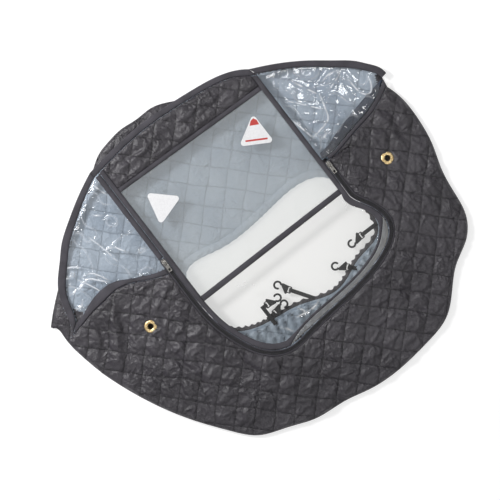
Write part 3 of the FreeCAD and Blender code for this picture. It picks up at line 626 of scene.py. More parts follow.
def relaxed(sheet, points, held):
    """The cloth held along its stitches, a little too large for them, and blown up from inside."""
    piece = mesh_object("cloth_draft", points, facing_up(sheet.points, sheet.faces), QUILT)
    group = piece.vertex_groups.new(name="held")
    group.add([int(i) for i in np.nonzero(held)[0]], 1.0, "REPLACE")
    modifier = piece.modifiers.new("cloth", "CLOTH")
    cloth = modifier.settings
    cloth.quality = 5
    cloth.mass = 0.2
    cloth.air_damping = 4.0
    cloth.tension_stiffness = 12.0
    cloth.compression_stiffness = 8.0
    cloth.shear_stiffness = 4.0
    cloth.bending_stiffness = 0.12
    cloth.vertex_group_mass = "held"
    cloth.pin_stiffness = 1.0
    cloth.use_pressure = True
    cloth.uniform_pressure_force = CLOTH_PRESSURE
    cloth.shrink_min = -CLOTH_GROWTH
    cloth.effector_weights.gravity = 0.0
    modifier.collision_settings.use_collision = False
    modifier.point_cache.frame_start = 1
    modifier.point_cache.frame_end = CLOTH_FRAMES
    scene = bpy.context.scene
    for step in range(1, CLOTH_FRAMES + 1):
        scene.frame_set(step)
    graph = bpy.context.evaluated_depsgraph_get()
    made = piece.evaluated_get(graph).data
    moved = np.zeros(len(made.vertices) * 3)
    made.vertices.foreach_get("co", moved)
    moved = moved.reshape(-1, 3) - points
    size = np.linalg.norm(moved, axis=1, keepdims=True)
    scene.frame_set(1)
    bpy.data.objects.remove(piece)
    moved = moved * np.minimum(1, LARGEST_MOVE / np.maximum(size, 1e-9))
    moved[:, 2] = np.maximum(moved[:, 2], -LARGEST_DROP)
    return points + moved


# ---------------------------------------------------------------- folds of the fabric


def crease(points, line, width, height):
    """A ridge, or with a negative height a valley, along a line given in millimetres."""
    route = np.array([(x * MM, y * MM, 0) for x, y in line])
    gap = distance_to(route, points, closed=False)
    start, end = route[0, :2], route[-1, :2]
    near = np.minimum(np.hypot(*(points[:, :2] - start).T), np.hypot(*(points[:, :2] - end).T))
    fade = np.clip(near / (14 * MM), 0.25, 1)
    return height * MM * np.exp(-(gap / (width * MM)) ** 2) * fade


SKIRT_FOLDS = [  # route, half width, height
    ([(-172, 62), (-205, 40), (-240, 25)], 7, 3.0),
    ([(-172, 40), (-200, 22), (-228, -8)], 6, 2.5),
    ([(-172, 20), (-196, -5), (-212, -40)], 6, 2.5),
    ([(-178, 74), (-220, 68), (-262, 52)], 8, -2.5),
    ([(-250, -30), (-256, -80), (-246, -130), (-254, -190)], 6, -3.0),
    ([(-236, -40), (-240, -90), (-230, -140), (-238, -190)], 7, 3.0),
    ([(-168, -60), (-185, -95), (-182, -140)], 6, 3.0),
    ([(-148, -125), (-151, -160), (-146, -196)], 5, -3.0),
    ([(-136, -130), (-138, -170), (-132, -205)], 6, 3.0),
    ([(-226, -38), (-222, -66)], 5, -2.5),
    ([(-232, -92), (-228, -120)], 5, -2.5),
    ([(-300, 90), (-318, 50), (-345, 10), (-360, -30)], 12, 5.0),
    ([(-330, 84), (-350, 50), (-372, 20)], 8, -4.0),
    ([(-280, 80), (-300, 44), (-330, 0)], 9, -3.0),
    ([(-120, -170), (-130, -215), (-120, -260)], 6, 2.5),
    ([(-96, -190), (-100, -235)], 5, -2.5),
    ([(-60, -204), (-66, -240), (-58, -280)], 6, 2.0),
    ([(182, -205), (186, -262), (180, -325)], 7, -2.2),
    ([(198, -200), (200, -258), (196, -325)], 7, 2.2),
    ([(238, -30), (262, -60), (270, -100)], 6, 2.2),
    ([(236, 5), (262, -12), (286, -44)], 6, 2.4),
    ([(240, 28), (270, 30), (298, 22)], 6, 2.4),
    ([(246, 44), (290, 48), (330, 44)], 6, -2.2),
    ([(355, 78), (362, 40), (356, 0)], 7, 2.6),
    ([(372, 86), (380, 48), (376, 10)], 6, -2.6),
    ([(388, 92), (398, 60), (398, 20)], 6, 2.4),
    ([(256, -118), (292, -130), (330, -128)], 7, 1.8),
    ([(226, -166), (262, -186), (300, -190)], 7, 1.8),
]


def folded(points, folds):
    """The points with every fold's ridge or valley added."""
    result = points.copy()
    for line, width, height in folds:
        result[:, 2] += crease(points, line, width, height)
    return result


def wavy(points, amounts):
    """The points with soft noise added: pairs of feature size and height."""
    result = points.copy()
    for i, (size, height) in enumerate(amounts):
        result[:, 2] += height * smooth_noise(points, size, 3.7 * i + 1.3)
    return result


WORST_CREASES = (-230 * MM, -40 * MM)  # round the left eyelet and the seam below its wing


def puckers(sheet, long, reach, seed):
    """The short creases that a row of stitches draws up beside itself, about -1 to 1."""
    u, v = along_quilting(sheet.points)
    result = np.zeros(len(u))
    for across, along, own in ((u, v, seed), (v, u, seed + 40)):
        line = np.round(across / PITCH)
        near = np.exp(-np.abs(across - line * PITCH) / reach)
        lean = (across - line * PITCH) * 0.8
        waves = [noise.noise(Vector(((a + b) / long, n * 7.3, own)))
                 for a, b, n in zip(along, lean, line)]
        result += near * np.array(waves) * 1.6
    return result


def crumpled(sheet, strength):
    """The wrinkles of padded cloth that has been folded up: long creases and short ones."""
    points = sheet.points
    patchy = 0.35 + 0.5 * np.clip(smooth_noise(points, 85 * MM, 21.0) + 0.2, 0, 1)
    gap = np.hypot(points[:, 0] - WORST_CREASES[0], points[:, 1] - WORST_CREASES[1])
    patchy += 0.6 * np.exp(-(gap / (110 * MM)) ** 2)
    long_ones = ridged(points, 52 * MM, 11.0) ** 3 + ridged(points, 40 * MM, 31.0) ** 3
    short_ones = ridged(points, 19 * MM, 16.0) ** 2
    height = 1.5 * long_ones + 0.7 * short_ones + 1.3 * puckers(sheet, 7 * MM, 6 * MM, 2.0)
    return height * patchy * strength * MM


def eased(sheet, reach):
    """0 at the sheet's edge, rising to 1 at that distance inside."""
    t = np.clip(sheet.edge / reach, 0, 1)
    return t * t * (3 - 2 * t)


# ---------------------------------------------------------------- quilted pieces

QUILT_STEP = PITCH / 16
LINING_STEP = PITCH / 10
PUFF = 2.2 * MM  # how far a quilted square stands up between its stitches
OUTER_THICK = 2.2 * MM
RIM_DROP = 2.2 * MM
RIM_FLOOR = 1.0 * MM
LINING_GAP = 0.9 * MM  # from the layer above to a front lining
LINING_EASE = 8 * MM  # how far from its edge a lining's puffs reach their height


def rolled_rim(sheet, reach):
    """1 at the cover's outer rim, where the cloth rolls under to the back, falling to 0 inside."""
    gap = distance_to(outlines("back_quilt")[0], sheet.points)
    return np.exp(-(gap / reach) ** 2)


def quilted(name, node, folds):
    """An outer layer: puffs between its stitches, folds, wrinkles, and a flat underside."""
    sheet = Sheet([node], QUILT_STEP)
    base = sheet.points.copy()
    shaped = wavy(folded(base, folds), [(60 * MM, 1.6 * MM), (24 * MM, 1.0 * MM)])
    shaped[:, 2] += crumpled(sheet, 1.0) + PUFF * sheet.puffs()
    shaped = base + (shaped - base) * eased(sheet, 9 * MM)[:, None]
    held = (sheet.stitch_gap() < QUILT_STEP * 0.4) | sheet.rim | (sheet.edge < QUILT_STEP * 0.6)
    top = relaxed(sheet, shaped, held)
    bottom = np.minimum(base[:, 2], shaped[:, 2])
    bottom = np.column_stack([base[:, :2], bottom - OUTER_THICK])
    top[:, 2] -= RIM_DROP * rolled_rim(sheet, 2.6 * MM)
    bottom[:, 2] += (RIM_FLOOR - bottom[:, 2]) * rolled_rim(sheet, 3.2 * MM)
    piece = closed_piece(name, sheet, warped(sheet, top), warped(sheet, bottom), QUILT)
    return piece


def make_skirt():
    piece = quilted("skirt_outer", "skirt_quilt", SKIRT_FOLDS)
    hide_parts("skirt_quilt")
    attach(piece, "shell")


def make_skirt_lining():
    sheet = Sheet(["skirt_lining"], LINING_STEP)
    shaped = sheet.points - (0, 0, LINING_GAP)
    bottom = shaped - (0, 0, 0.8 * MM)
    bottom[:, 2] -= 2.0 * MM * sheet.puffs() * eased(sheet, LINING_EASE)
    piece = closed_piece("skirt_lining_quilted", sheet, shaped, bottom, LINING)
    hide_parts("skirt_lining")
    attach(piece, "shell")


def opening_loop():
    """The edge of the gathered hem's opening: the casing's inner outline."""
    return outlines("hem_casing")[-1]


def gathers(points, loop, reach, wave):
    """Folds that run out from the lower hem: 1 on a fold, 0 between, and how strong they are."""
    pace = 4 * MM
    steps = evenly(np.vstack([loop, loop[:1]]), pace)
    gap = distance_to(loop, points)
    fold = np.zeros(len(points))
    for i in np.nonzero(gap < reach * 3)[0]:
        close = int(np.hypot(*(steps[:, :2] - points[i, :2]).T).argmin())
        wander = noise.noise(Vector((points[i, 0] * 22, points[i, 1] * 22, 5.0)))
        fold[i] = abs(math.sin(math.pi * (close * pace + 9 * MM * wander) / wave))
    lower = np.clip((20 * MM - points[:, 1]) / (90 * MM), 0, 1)
    return fold, lower * np.exp(-gap / reach) * (gap < reach * 3)


FRONT_LAYERS = ("side_window_left", "side_window_right", "side_hem_tape_left", "side_hem_tape_right",
                "top_hem_tape", "skirt_quilt", "seam_tape_left", "seam_tape_right", "band_quilt",
                "window_upper", "window_middle", "window_lower", "flap_tape", "side_tape_left",
                "side_tape_right", "wing_tape_left", "crossbar_tape", "head_tape", "gusset_strip",
                "zip_coil_inner", "zip_coil_outer", "zip_tape_inner", "zip_tape_outer")
FOLD_GAP_REACH = 4 * MM
FOLD_HALF_LENGTH = 180 * MM


def covered(points):
    """Which points lie under the front layers of the cover, the narrow gap at the fold included."""
    trees = surfaces(FRONT_LAYERS)
    up = Vector((0, 0, 1))
    below = [any(tree.ray_cast(Vector(p), up)[0] is not None for tree in trees) for p in points]
    from_fold = points - FOLD_POINT
    at_fold = np.abs(from_fold @ FOLD_ACROSS) < FOLD_GAP_REACH
    return np.array(below) | (at_fold & (np.abs(from_fold @ FOLD_ALONG) < FOLD_HALF_LENGTH))


def turned_edge(piece, sheet, material):
    """At the rim and past the mouth the dark outer cloth is turned over onto the lining's side."""
    piece.data.materials.append(material)
    middles = np.array([tuple(face.center) for face in piece.data.polygons])
    under = covered(middles + (0, 0, 0.5 * MM))
    rim = distance_to(sheet.loops[0], middles) < 1.5 * MM
    for face, hidden, at_rim in zip(piece.data.polygons, under, rim):
        face.material_index = 0 if hidden and not at_rim else 1


def make_back():
    loop = opening_loop()
    outer = Sheet(["back_quilt"], LINING_STEP)
    bottom = outer.points.copy()
    bottom[:, 2] = 0.3 * MM + 1.9 * MM * (1 - outer.puffs() * eased(outer, LINING_EASE))
    top = outer.points - (0, 0, 0.6 * MM)
    piece = closed_piece("back_outer", outer, warped(outer, top), warped(outer, bottom), QUILT)
    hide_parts("back_quilt")
    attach(piece, "shell")

    lining = Sheet(["back_lining"], LINING_STEP)
    ease = eased(lining, LINING_EASE)
    shaped = lining.points.copy()
    shaped[:, 2] += PUFF * lining.puffs() * ease
    shaped[:, 2] += np.abs(crumpled(lining, 0.9)) * ease
    shaped[:, 2] += 1.2 * MM * np.abs(smooth_noise(lining.points, 60 * MM, 3.0)) * ease
    fold, near = gathers(lining.points, loop, 75 * MM, 19 * MM)
    shaped[:, 2] += 9 * MM * fold * near
    under = lining.points - (0, 0, 1.4 * MM)
    shaped, under = warped(lining, shaped), warped(lining, under)
    piece = closed_piece("back_lining_quilted", lining, shaped, under, LINING)
    # Painted shade: how far each point lies in a valley between the gathers, for the lining's colour
    # to darken.
    marked(piece, "fold_shade", np.tile((1 - fold) ** 1.3 * near, 2))
    turned_edge(piece, lining, QUILT)
    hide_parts("back_lining")
    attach(piece, "shell")


BAND_FOLDS = [
    ([(-140, 300), (-90, 306), (-40, 300)], 6, -2.5),
    ([(-120, 290), (-60, 296), (-10, 310)], 6, 2.4),
    ([(20, 300), (60, 296), (100, 302)], 6, 2.0),
    ([(60, 280), (110, 284), (150, 292)], 5, -1.8),
]


def make_band():
    piece = quilted("band_outer", "band_quilt", BAND_FOLDS)
    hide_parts("band_quilt")
    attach(piece, "shell")

    sheet = Sheet(["band_lining"], LINING_STEP)
    top = sheet.points - (0, 0, LINING_GAP)
    bottom = sheet.points - (0, 0, 1.4 * MM)
    bottom[:, 2] -= 1.6 * MM * sheet.puffs() * eased(sheet, LINING_EASE)
    piece = closed_piece("band_lining_quilted", sheet, top, bottom, LINING)
    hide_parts("band_lining")
    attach(piece, "shell")


# ---------------------------------------------------------------- bindings and their stitches


STITCH_PITCH = 3.2 * MM
STITCH_LONG = 2.3 * MM
STITCH_WIDE = 0.55 * MM
BEAD_SIDES = 6


def stitch_row(loop, inset, lift):
    """Places of stitches along a line set in from a closed loop: centre and direction."""
    line = evenly(np.vstack([loop, loop[:1]]), STITCH_PITCH)
    ahead, side = directions(line)
    turn = 1 if signed_area(loop) > 0 else -1
    return line + side * inset * turn + (0, 0, lift), ahead


def stitches(name, centres, ahead):
    """Short rounded stitches, each a stretched bead with a point at both ends."""
    points, faces = [], []
    ring = [(math.cos(a), math.sin(a)) for a in np.arange(BEAD_SIDES) * 2 * math.pi / BEAD_SIDES]
    for centre, along in zip(centres, ahead):
        side = np.array([-along[1], along[0], 0.0])
        up = np.cross(along, side)
        base = len(points)
        last = base + 1 + 2 * BEAD_SIDES
        points.append(centre - along * STITCH_LONG / 2)
        for shift in (-0.28, 0.28):
            middle = centre + along * STITCH_LONG * shift
            points += [middle + side * STITCH_WIDE / 2 * c + up * STITCH_WIDE / 2 * s for c, s in ring]
        points.append(centre + along * STITCH_LONG / 2)
        for i in range(BEAD_SIDES):
            a, b = base + 1 + i, base + 1 + (i + 1) % BEAD_SIDES
            faces.append((base, b, a))
            faces.append((a, b, b + BEAD_SIDES, a + BEAD_SIDES))
            faces.append((last, a + BEAD_SIDES, b + BEAD_SIDES))
    return mesh_object(name, points, faces, THREAD)


def bound(name, nodes, body, material=TAPE, rise=0.5, round_off=1.1,
          step=2.4, rows=(1.7,), blended=False, waves=0.35):
    """A binding tape over CAD nodes: crowned, with rounded edges and a row of stitches."""
    sheet = Sheet(nodes, step * MM, turned=False)
    crown = 1 - np.exp(-(sheet.edge / (1.6 * MM)) ** 2)
    top = sheet.points.copy()
    top[:, 2] += (rise + round_off) * MM * crown - round_off * MM
    top[:, 2] += waves * MM * crown * smooth_noise(top, 13 * MM, 8.0)
    thick = min(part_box(nodes[0])[1].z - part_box(nodes[0])[0].z, 2.4 * MM)
    bottom = sheet.points - (0, 0, thick)
    bottom[:, 2] += 0.4 * MM * (1 - crown)
    piece = closed_piece(name, sheet, top, bottom, material)
    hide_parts(*nodes)
    pieces = [piece]
    for number, row in enumerate(rows):
        found = [stitch_row(loop, row * MM, rise * MM * 0.55) for loop in sheet.loops]
        centres = np.vstack([f[0] for f in found])
        ahead = np.vstack([f[1] for f in found])
        keep = inside(sheet.loops, centres)
        thread = stitches(f"{name}_stitches_{number + 1}", centres[keep], ahead[keep])
        pieces.append(thread)
    for part in pieces:
        if blended:
            across_fold(part)
        else:
            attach(part, body)


def across_fold(piece):
    """Fabric that spans the flap's fold: its placement is baked into its mesh and it is attached to no
    body.
    """
    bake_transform(piece)


def make_bindings():
    for side in ("left", "right"):
        bound(f"mouth_binding_{side}", [f"side_hem_tape_{side}"], "shell")
        bound(f"seam_binding_{side}", [f"seam_tape_{side}"], "shell")
    bound("mouth_binding_top", ["top_hem_tape"], "shell")
    bound("head_binding", ["head_tape"], "shell")
    bound("wing_binding_left", ["wing_tape_left"], "shell")
    bound("panel_binding", ["flap_tape", "side_tape_left", "side_tape_right"], "window_flap",
          blended=True)
    bound("crossbar_binding", ["crossbar_tape"], "window_flap")
    for side, body in (("inner", "window_flap"), ("outer", "shell")):
        bound(f"zip_tape_{side}_woven", [f"zip_tape_{side}"], body, rise=0.1,
              round_off=0.2, step=1.6, rows=(), waves=0.1)


# ---------------------------------------------------------------- films

FILM_THICK = 0.35 * MM
LEFT_SHINE = [  # route, width, height
    ([(-350, 158), (-318, 156), (-302, 165), (-286, 148), (-270, 130)], 2.4, 1.8),
    ([(-302, 170), (-286, 168), (-268, 133)], 2.0, 1.4),
    ([(-242, 188), (-220, 181), (-214, 170), (-204, 155)], 2.4, 1.8),
    ([(-330, 208), (-310, 200), (-296, 186)], 2.4, 1.4),
    ([(-345, 194), (-325, 184)], 2.4, 1.4),
    ([(-362, 132), (-346, 124), (-336, 134)], 3.4, 2.2),
    ([(-366, 96), (-358, 84), (-352, 92)], 3.4, 2.2),
    ([(-216, 256), (-200, 244)], 3.0, 1.6),
    ([(-178, 305), (-174, 286), (-167, 270)], 2.6, 1.6),
    ([(-170, 204), (-160, 196)], 2.6, 1.2),
    ([(-320, 176), (-300, 140), (-290, 110)], 1.8, 1.0),
    ([(-250, 230), (-238, 190), (-232, 150)], 1.6, 0.8),
]
RIGHT_SHINE = [
    ([(221, 110), (232, 113), (268, 119), (276, 127), (282, 148), (290, 175)], 2.4, 2.0),
    ([(260, 228), (275, 195), (288, 172)], 2.8, 1.6),
    ([(302, 188), (328, 195), (343, 190)], 2.2, 1.5),
    ([(302, 168), (322, 172), (343, 180)], 2.4, 1.4),
    ([(353, 170), (354, 130), (363, 115), (376, 114), (386, 130), (390, 148)], 2.4, 1.8),
    ([(318, 150), (322, 138), (324, 125)], 2.4, 1.3),
    ([(212, 170), (220, 135), (226, 110)], 2.6, 1.4),
    ([(232, 96), (244, 100), (258, 104)], 3.4, 1.6),
    ([(224, 206), (250, 176), (280, 140)], 1.8, 0.9),
]
LOWER_SHINE = [
    ([(-72, -30), (-62, -38), (-56, -34)], 3.6, 1.8),
    ([(-48, -46), (-40, -54)], 3.4, 1.6),
    ([(196, -12), (198, -28), (190, -42)], 2.6, 1.5),
    ([(-54, -148), (-44, -160), (-40, -168)], 3.0, 1.8),
    ([(-4, -138), (4, -150), (-2, -158)], 2.6, 1.4),
    ([(-20, -150), (18, -158), (40, -150)], 2.2, 1.2),
]


def rounded_route(route):
    """The route with its corners cut three times over, so that it curves."""
    line = np.array(route, float)
    for _ in range(3):
        first, second = line[:-1], line[1:]
        cut = np.stack([0.75 * first + 0.25 * second, 0.25 * first + 0.75 * second], axis=1)
        line = np.vstack([line[:1], cut.reshape(-1, 2), line[-1:]])
    return line


def stress_white_and_highlight_lines(points, routes, broken):
    """How white the creased film is: partly the milkiness of creased vinyl, partly painted highlight
    lines along the routes, broken up unevenly.
    """
    result = np.zeros(len(points))
    gaps = np.clip(smooth_noise(points, 9 * MM, 6.0) * 1.8 + broken, 0, 1)
    for route, width, _ in routes:
        result = np.maximum(result, crease(points, route, 0.62 * width, 1 / MM) * gaps)
    return result


def pleats(sheet, pitch):
    """Fold lines that run along a narrow strip."""
    wander = 0.6 * MM * smooth_noise(sheet.points, 40 * MM)
    return np.abs(np.sin(math.pi * (sheet.edge + wander) / pitch))


def film_piece(name, nodes, body, material, step, shine, crinkle, swell, blended=False,
               pleated=0.0, veins=0.35):
    """A vinyl film: a soft swell, wandering creases and the sharper ones that shine."""
    sheet = Sheet(nodes, step * MM, turned=False)
    ease = eased(sheet, 10 * MM)
    routes = [(rounded_route(route), width, height) for route, width, height in shine]
    points = folded(sheet.points, routes)
    points[:, 2] += swell * MM * smooth_noise(points, 70 * MM, 2.0)
    points[:, 2] += crinkle * MM * ridged(points, 46 * MM, 4.0) ** 4
    points[:, 2] += 0.4 * crinkle * MM * ridged(points, 19 * MM, 9.0) ** 3
    points = sheet.points + (points - sheet.points) * ease[:, None]
    # Along the shining routes and the sharpest crinkle ridges the film is painted white: partly the
    # milkiness of creased vinyl, partly painted highlight lines.
    white = stress_white_and_highlight_lines(sheet.points, routes, 1.0)
    white = np.maximum(white, veins * (ridged(sheet.points, 46 * MM, 4.0) ** 14) * ease)
    if pleated:
        lines = pleats(sheet, pleated) ** 6
        points[:, 2] += 0.8 * MM * lines
        # The pleat lines are painted white too: partly creased vinyl, partly painted highlight.
        white = np.maximum(white, 0.5 * lines)
    piece = closed_piece(name, sheet, points, points - (0, 0, FILM_THICK), material)
    marked(piece, "crease", np.tile(white, 2))
    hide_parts(*nodes)
    if blended:
        across_fold(piece)
    else:
        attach(piece, body)


def make_films():
    film_piece("side_film_left", ["side_window_left"], "shell", CLEAR, step=1.6,
               shine=LEFT_SHINE, crinkle=0.8, swell=1.2)
    film_piece("side_film_right", ["side_window_right"], "shell", CLEAR, step=1.6,
               shine=RIGHT_SHINE, crinkle=0.8, swell=1.0)
    film_piece("window_film_upper", ["window_upper", "window_middle"], "shell", FROSTED,
               step=4.0, shine=[], crinkle=0.15, swell=1.0,
               blended=True, veins=0.0)
    film_piece("window_film_lower", ["window_lower"], "window_flap", PANE, step=2.0,
               shine=LOWER_SHINE, crinkle=0.5, swell=1.4, veins=0.0)
    film_piece("gusset_film", ["gusset_strip"], "window_flap", GUSSET, step=1.4,
               shine=[], crinkle=0.5, swell=0.6, pleated=4.2 * MM)


def make_shaded_lining_strip():
    """The narrow quilted strip inside the right wing, in a darker copy of the lining cloth: painted
    shade.
    """
    sheet = Sheet(["facing_right"], LINING_STEP)
    shaped = sheet.points.copy()
    shaped[:, 2] += (1.6 * MM * sheet.puffs() + np.abs(crumpled(sheet, 0.7))) * eased(sheet, 5 * MM)
    piece = closed_piece("lining_strip_shaded", sheet, shaped, sheet.points - (0, 0, 1.2 * MM), SHADED_LINING)
    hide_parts("facing_right")
    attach(piece, "shell")


# ---------------------------------------------------------------- gathered hem


HEM_STEP = 3 * MM
HEM_WIDTH = 17 * MM
HEM_RING = 12  # points round the tube
HEM_HEIGHT = 4.2 * MM  # of the tube's middle
PINCH_WAVE = 15 * MM
FRONT_RUFFLE = 4.2 * MM
REAR_RUFFLE = 1.2 * MM
DARK_BELOW = -62 * MM


def hem_ring(point, out, run):
    """One ring of the casing's tube, from its inner side over the top and back."""
    pinch = abs(math.sin(math.pi * run / PINCH_WAVE + 1.6 * math.sin(run * 31)))
    ruffle = FRONT_RUFFLE if point[1] < 0 else REAR_RUFFLE
    ring = []
    for k in range(HEM_RING):
        angle = 2 * math.pi * k / HEM_RING
        across = HEM_WIDTH / 2 * (1 - math.cos(angle))
        across += (pinch - 0.5) * ruffle * max(0.0, math.cos(angle))
        up = HEM_HEIGHT + (2.6 + 1.5 * pinch) * MM * math.sin(angle)
        ring.append(point + out * across + (0, 0, up - point[2]))
    return ring


def make_hem():
    """The gathered casing: a soft tube round the opening, pinched by its elastic."""
    inner = opening_loop()
    line = evenly(np.vstack([inner, inner[:1]]), HEM_STEP)[:-1]
    count = len(line)
    ahead = np.roll(line, -1, axis=0) - np.roll(line, 1, axis=0)
    ahead /= np.linalg.norm(ahead, axis=1, keepdims=True)
    out = np.column_stack([ahead[:, 1], -ahead[:, 0], np.zeros(count)])
    if signed_area(inner) < 0:
        out = -out
    points, faces, dark = [], [], []
    for i in range(count):
        points += hem_ring(line[i], out[i], i * HEM_STEP)
        j = (i + 1) % count
        for k in range(HEM_RING):
            m = (k + 1) % HEM_RING
            faces.append((i * HEM_RING + k, j * HEM_RING + k, j * HEM_RING + m, i * HEM_RING + m))
            inner_side = k < HEM_RING / 4 or k >= HEM_RING * 3 / 4
            dark.append(line[i][1] < DARK_BELOW and inner_side)
    piece = mesh_object("hem_gathered", points, faces, LINING)
    piece.data.materials.append(QUILT)
    marked(piece, "stitch_gap", np.full(len(points), PITCH / 2))
    for face, is_dark in zip(piece.data.polygons, dark):
        face.material_index = 1 if is_dark else 0
    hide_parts("hem_casing")
    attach(piece, "shell")


# ---------------------------------------------------------------- zip


def arm_end(loop, side):
    """Which points of a U-shaped loop are at the top of its left (-1) or right (1) arm."""
    arm = loop[:, 0] * side > 0
    return np.nonzero(arm & (loop[:, 1] > loop[arm][:, 1].max() - 0.2 * MM))[0]


def middle_line(node):
    """The line along the middle of a U-shaped strip, from its left end to its right."""
    loop = outlines(node)[0]
    left, right = arm_end(loop, -1), arm_end(loop, 1)
    start = left[0] if (left[0] + 1) % len(loop) not in left else left[-1]
    turned = np.roll(loop, -start, axis=0)
    stops = [(r - start) % len(loop) for r in right]
    one = evenly(turned[:min(stops) + 1], 1 * MM)
    other = evenly(np.vstack([turned[max(stops):], turned[:1]])[::-1], 1 * MM)
    if np.linalg.norm(other[0] - one[0]) > 20 * MM:
        other = other[::-1]
    share = np.linspace(0, 1, max(len(one), len(other)))
    rows = []
    for line in (one, other):
        own = np.linspace(0, 1, len(line))
        rows.append(np.column_stack([np.interp(share, own, line[:, i]) for i in range(3)]))
    return (rows[0] + rows[1]) / 2


COIL_WIDE = 1.9 * MM
COIL_HIGH = 1.8 * MM
COIL_PITCH = 1.6 * MM
COIL_THREAD = 0.32 * MM
COIL_SIDES = 8


def four_sided(name, points, material, smooth=True):
    """A four-sided rod or strip through sets of four points, closed at both ends."""
    last = len(points) - 4
    faces = [(i + k, i + (k + 1) % 4, i + 4 + (k + 1) % 4, i + 4 + k)
             for i in range(0, last, 4) for k in range(4)]
    faces += [(3, 2, 1, 0), (last, last + 1, last + 2, last + 3)]
    return mesh_object(name, points, faces, material, smooth)


def coil(name, node, body):
    """A zip's nylon coil: a flattened spiral along the strip."""
    line = evenly(middle_line(node), COIL_PITCH / COIL_SIDES)
    ahead, side = directions(line)
    angle = np.arange(len(line)) * 2 * math.pi / COIL_SIDES
    rise = np.array([0, 0, 1.0])
    sway = side * (np.cos(angle) * COIL_WIDE / 2)[:, None]
    climb = rise * (np.sin(angle) * COIL_HIGH / 2)[:, None]
    path = line - (0, 0, COIL_HIGH / 2) + sway + climb
    points = []
    for i, point in enumerate(path):
        away = side[i] * math.cos(angle[i]) + rise * math.sin(angle[i])
        slant = ahead[i] * 0.8
        corners = (away + slant, -away + slant, -away - slant, away - slant)
        points += [point + corner * COIL_THREAD for corner in corners]
    piece = four_sided(name, points, COIL)
    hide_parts(node)
    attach(piece, body)


# A dark strip laid under the zip as painted shade, so that no pale cloth shows between the coils.
SHADE_STRIP_HALF = 5.5 * MM
SHADE_STRIP_THICK = 0.4 * MM
SHADE_STRIP_DROP = 2.6 * MM  # below the tops of the coils


def make_zip_shade_strip():
    """A dark strip under both rows of coil: painted shade for the gap between and under them."""
    line = evenly(middle_line("zip_coil_outer"), 3 * MM)
    _, side = directions(line)
    under = line - (0, 0, SHADE_STRIP_DROP)
    rows = [under - side * SHADE_STRIP_HALF, under + side * SHADE_STRIP_HALF]
    rows += [row - (0, 0, SHADE_STRIP_THICK) for row in reversed(rows)]
    points = np.stack(rows, axis=1).reshape(-1, 3)
    piece = four_sided("zip_shade_strip", points, COIL, smooth=False)
    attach(piece, "shell")


def make_zip():
    make_zip_shade_strip()
    coil("zip_spiral_inner", "zip_coil_inner", "window_flap")
    coil("zip_spiral_outer", "zip_coil_outer", "shell")


# ---------------------------------------------------------------- carried-over hard pieces


def paint(nodes, material):
    for node in nodes:
        mesh = frame["nodes"][node].data
        mesh.materials.clear()
        mesh.materials.append(material)


def rounded_copy(name, node, body, material, voxel, passes):
    """A CAD piece with its edges rounded as moulding or plating rounds them."""
    mesh = frame["nodes"][node].data.copy()
    piece = bpy.data.objects.new(name, mesh)
    bpy.context.scene.collection.objects.link(piece)
    remesh = piece.modifiers.new("remesh", "REMESH")
    remesh.mode = "VOXEL"
    remesh.voxel_size = voxel
    soften = piece.modifiers.new("soften", "SMOOTH")
    soften.iterations = passes
    soften.factor = 0.5
    graph = bpy.context.evaluated_depsgraph_get()
    made = bpy.data.meshes.new_from_object(piece.evaluated_get(graph))
    piece.modifiers.clear()
    piece.data = made
    made.shade_smooth()
    made.materials.clear()
    made.materials.append(material)
    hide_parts(node)
    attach(piece, body)


def make_hardware():
    for side in ("left", "right"):
        paint([f"eyelet_{side}", f"eyelet_washer_{side}"], BRASS)
        rounded_copy(f"zip_slider_{side}", f"slider_{side}", f"slider_{side}", NICKEL,
                     voxel=0.3 * MM, passes=4)
        rounded_copy(f"zip_pull_{side}", f"slider_pull_{side}", f"pull_{side}", NICKEL,
                     voxel=0.25 * MM, passes=4)
    for number in range(1, 6):
        rounded_copy(f"hook_moulded_{number}", f"hook_{number}", f"hook_{number}", BLACK,
                     voxel=0.45 * MM, passes=5)
        rounded_copy(f"hook_strap_{number}", f"hook_webbing_{number}", "shell", WEBBING,
                     voxel=0.3 * MM, passes=3)
    paint(["zip_stops_inner", "zip_stops_outer"], NICKEL)
    paint(["hem_elastic"], ELASTIC)
    paint(["sticker_left", "sticker_right"], LABEL)


def label_print(name, corners, lift):
    """A plain printed block on the right label, its corners in millimetres."""
    count = len(corners)
    top = [(x * MM, y * MM, lift) for x, y in corners]
    base = [(x * MM, y * MM, lift - 0.05 * MM) for x, y in corners]
    faces = [tuple(range(count)), tuple(reversed(range(count, 2 * count)))]
    faces += [(i, i + count, (i + 1) % count + count, (i + 1) % count) for i in range(count)]
    piece = mesh_object(name, top + base, faces, PRINT, smooth=False)
    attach(piece, "shell")


def make_label_print():
    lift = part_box("sticker_right")[1].z + 0.06 * MM
    label_print("label_corner",
                [(139.5, 207), (147, 213.5), (154.5, 214.5), (158, 208), (156.5, 198)], lift)
    label_print("label_bar",
                [(113.6, 186.3), (152.0, 164.2), (153.8, 167.2), (115.4, 189.3)], lift)


# ---------------------------------------------------------------- stage


FLOOR = -0.6 * MM
FLOOR_REACH = 6.0
WORLD_STRENGTH = 0.5
GLINTS = 6
GLINT_RADIUS = 1.5
GLINT_HEIGHT = 2.3


def area_light(name, place, size, power):
    """A rectangular light that points at the cover."""
    light = bpy.data.lights.new(name, "AREA")
    light.shape = "RECTANGLE"
    light.size, light.size_y = size
    light.energy = power
    lamp = bpy.data.objects.new(name, light)
    lamp.location = place
    lamp.rotation_euler = (-Vector(place)).to_track_quat("-Z", "Y").to_euler()
    bpy.context.scene.collection.objects.link(lamp)
    return lamp


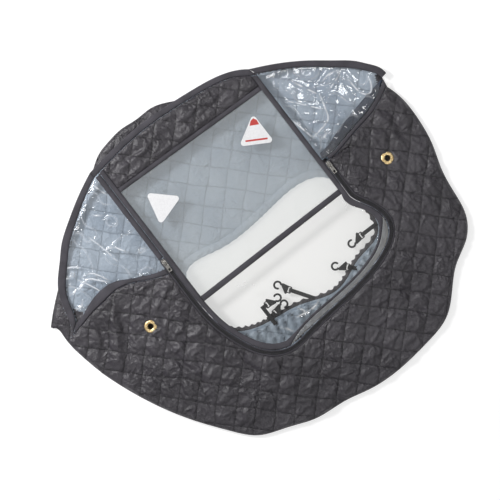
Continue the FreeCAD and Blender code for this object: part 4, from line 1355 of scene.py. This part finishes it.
def make_stage():
    corners = [(x * FLOOR_REACH, y * FLOOR_REACH, FLOOR)
               for x, y in ((-1, -1), (1, -1), (1, 1), (-1, 1))]
    floor = mesh_object("studio_floor", corners, [(0, 1, 2, 3)], floor_material())
    world = bpy.data.worlds.new("studio")
    world.use_nodes = True
    world.node_tree.nodes["Background"].inputs["Color"].default_value = (1.0, 1.0, 1.0, 1.0)
    world.node_tree.nodes["Background"].inputs["Strength"].default_value = WORLD_STRENGTH
    bpy.context.scene.world = world
    area_light("key", (-0.9, 1.7, 1.5), size=(0.4, 0.4), power=46)
    for number in range(GLINTS):
        angle = math.radians(20 + 360 / GLINTS * number)
        place = (GLINT_RADIUS * math.cos(angle), GLINT_RADIUS * math.sin(angle), GLINT_HEIGHT)
        glint = area_light(f"glint_{number + 1}", place, size=(0.14, 0.6), power=6)
        glint.visible_diffuse = False
    bpy.context.scene.view_settings.view_transform = "Standard"


def floor_material():
    shader = Shader("studio_paper")
    tone = shader.ramp(shader.noise(3.0), 0.3, 0.7)
    shader.set(Base_Color=shader.mix(tone, (0.5, 0.5, 0.5, 1.0), (0.53, 0.53, 0.53, 1.0)))
    shader.set(Roughness=0.9, Specular_IOR_Level=0.1)
    shader.set(Emission_Color=(1.0, 1.0, 1.0, 1.0), Emission_Strength=0.62)
    return shader.material


CAMERA_TURN = math.radians(37.5)
PICTURE_WIDE = 1.0  # metres across the picture
CAMERA_RIGHT = -14.4 * MM
CAMERA_UP = 3.2 * MM


def make_camera():
    """Straight above, turned so that the cover's +X runs up to the right."""
    turn = CAMERA_TURN
    right = Vector((math.cos(turn), -math.sin(turn), 0))
    up = Vector((math.sin(turn), math.cos(turn), 0))
    camera = bpy.data.cameras.new("camera")
    camera.lens = 85
    camera.sensor_width = 36
    distance = PICTURE_WIDE * camera.lens / camera.sensor_width
    place = bpy.data.objects.new("camera", camera)
    place.location = right * CAMERA_RIGHT + up * CAMERA_UP + Vector((0, 0, distance + 10 * MM))
    place.rotation_euler = (0, 0, -turn)
    bpy.context.scene.collection.objects.link(place)
    bpy.context.scene.camera = place


make_camera()
make_stage()
make_back()
make_hem()
make_skirt()
make_skirt_lining()
make_band()
make_films()
make_shaded_lining_strip()
make_bindings()
make_zip()
make_hardware()
make_label_print()
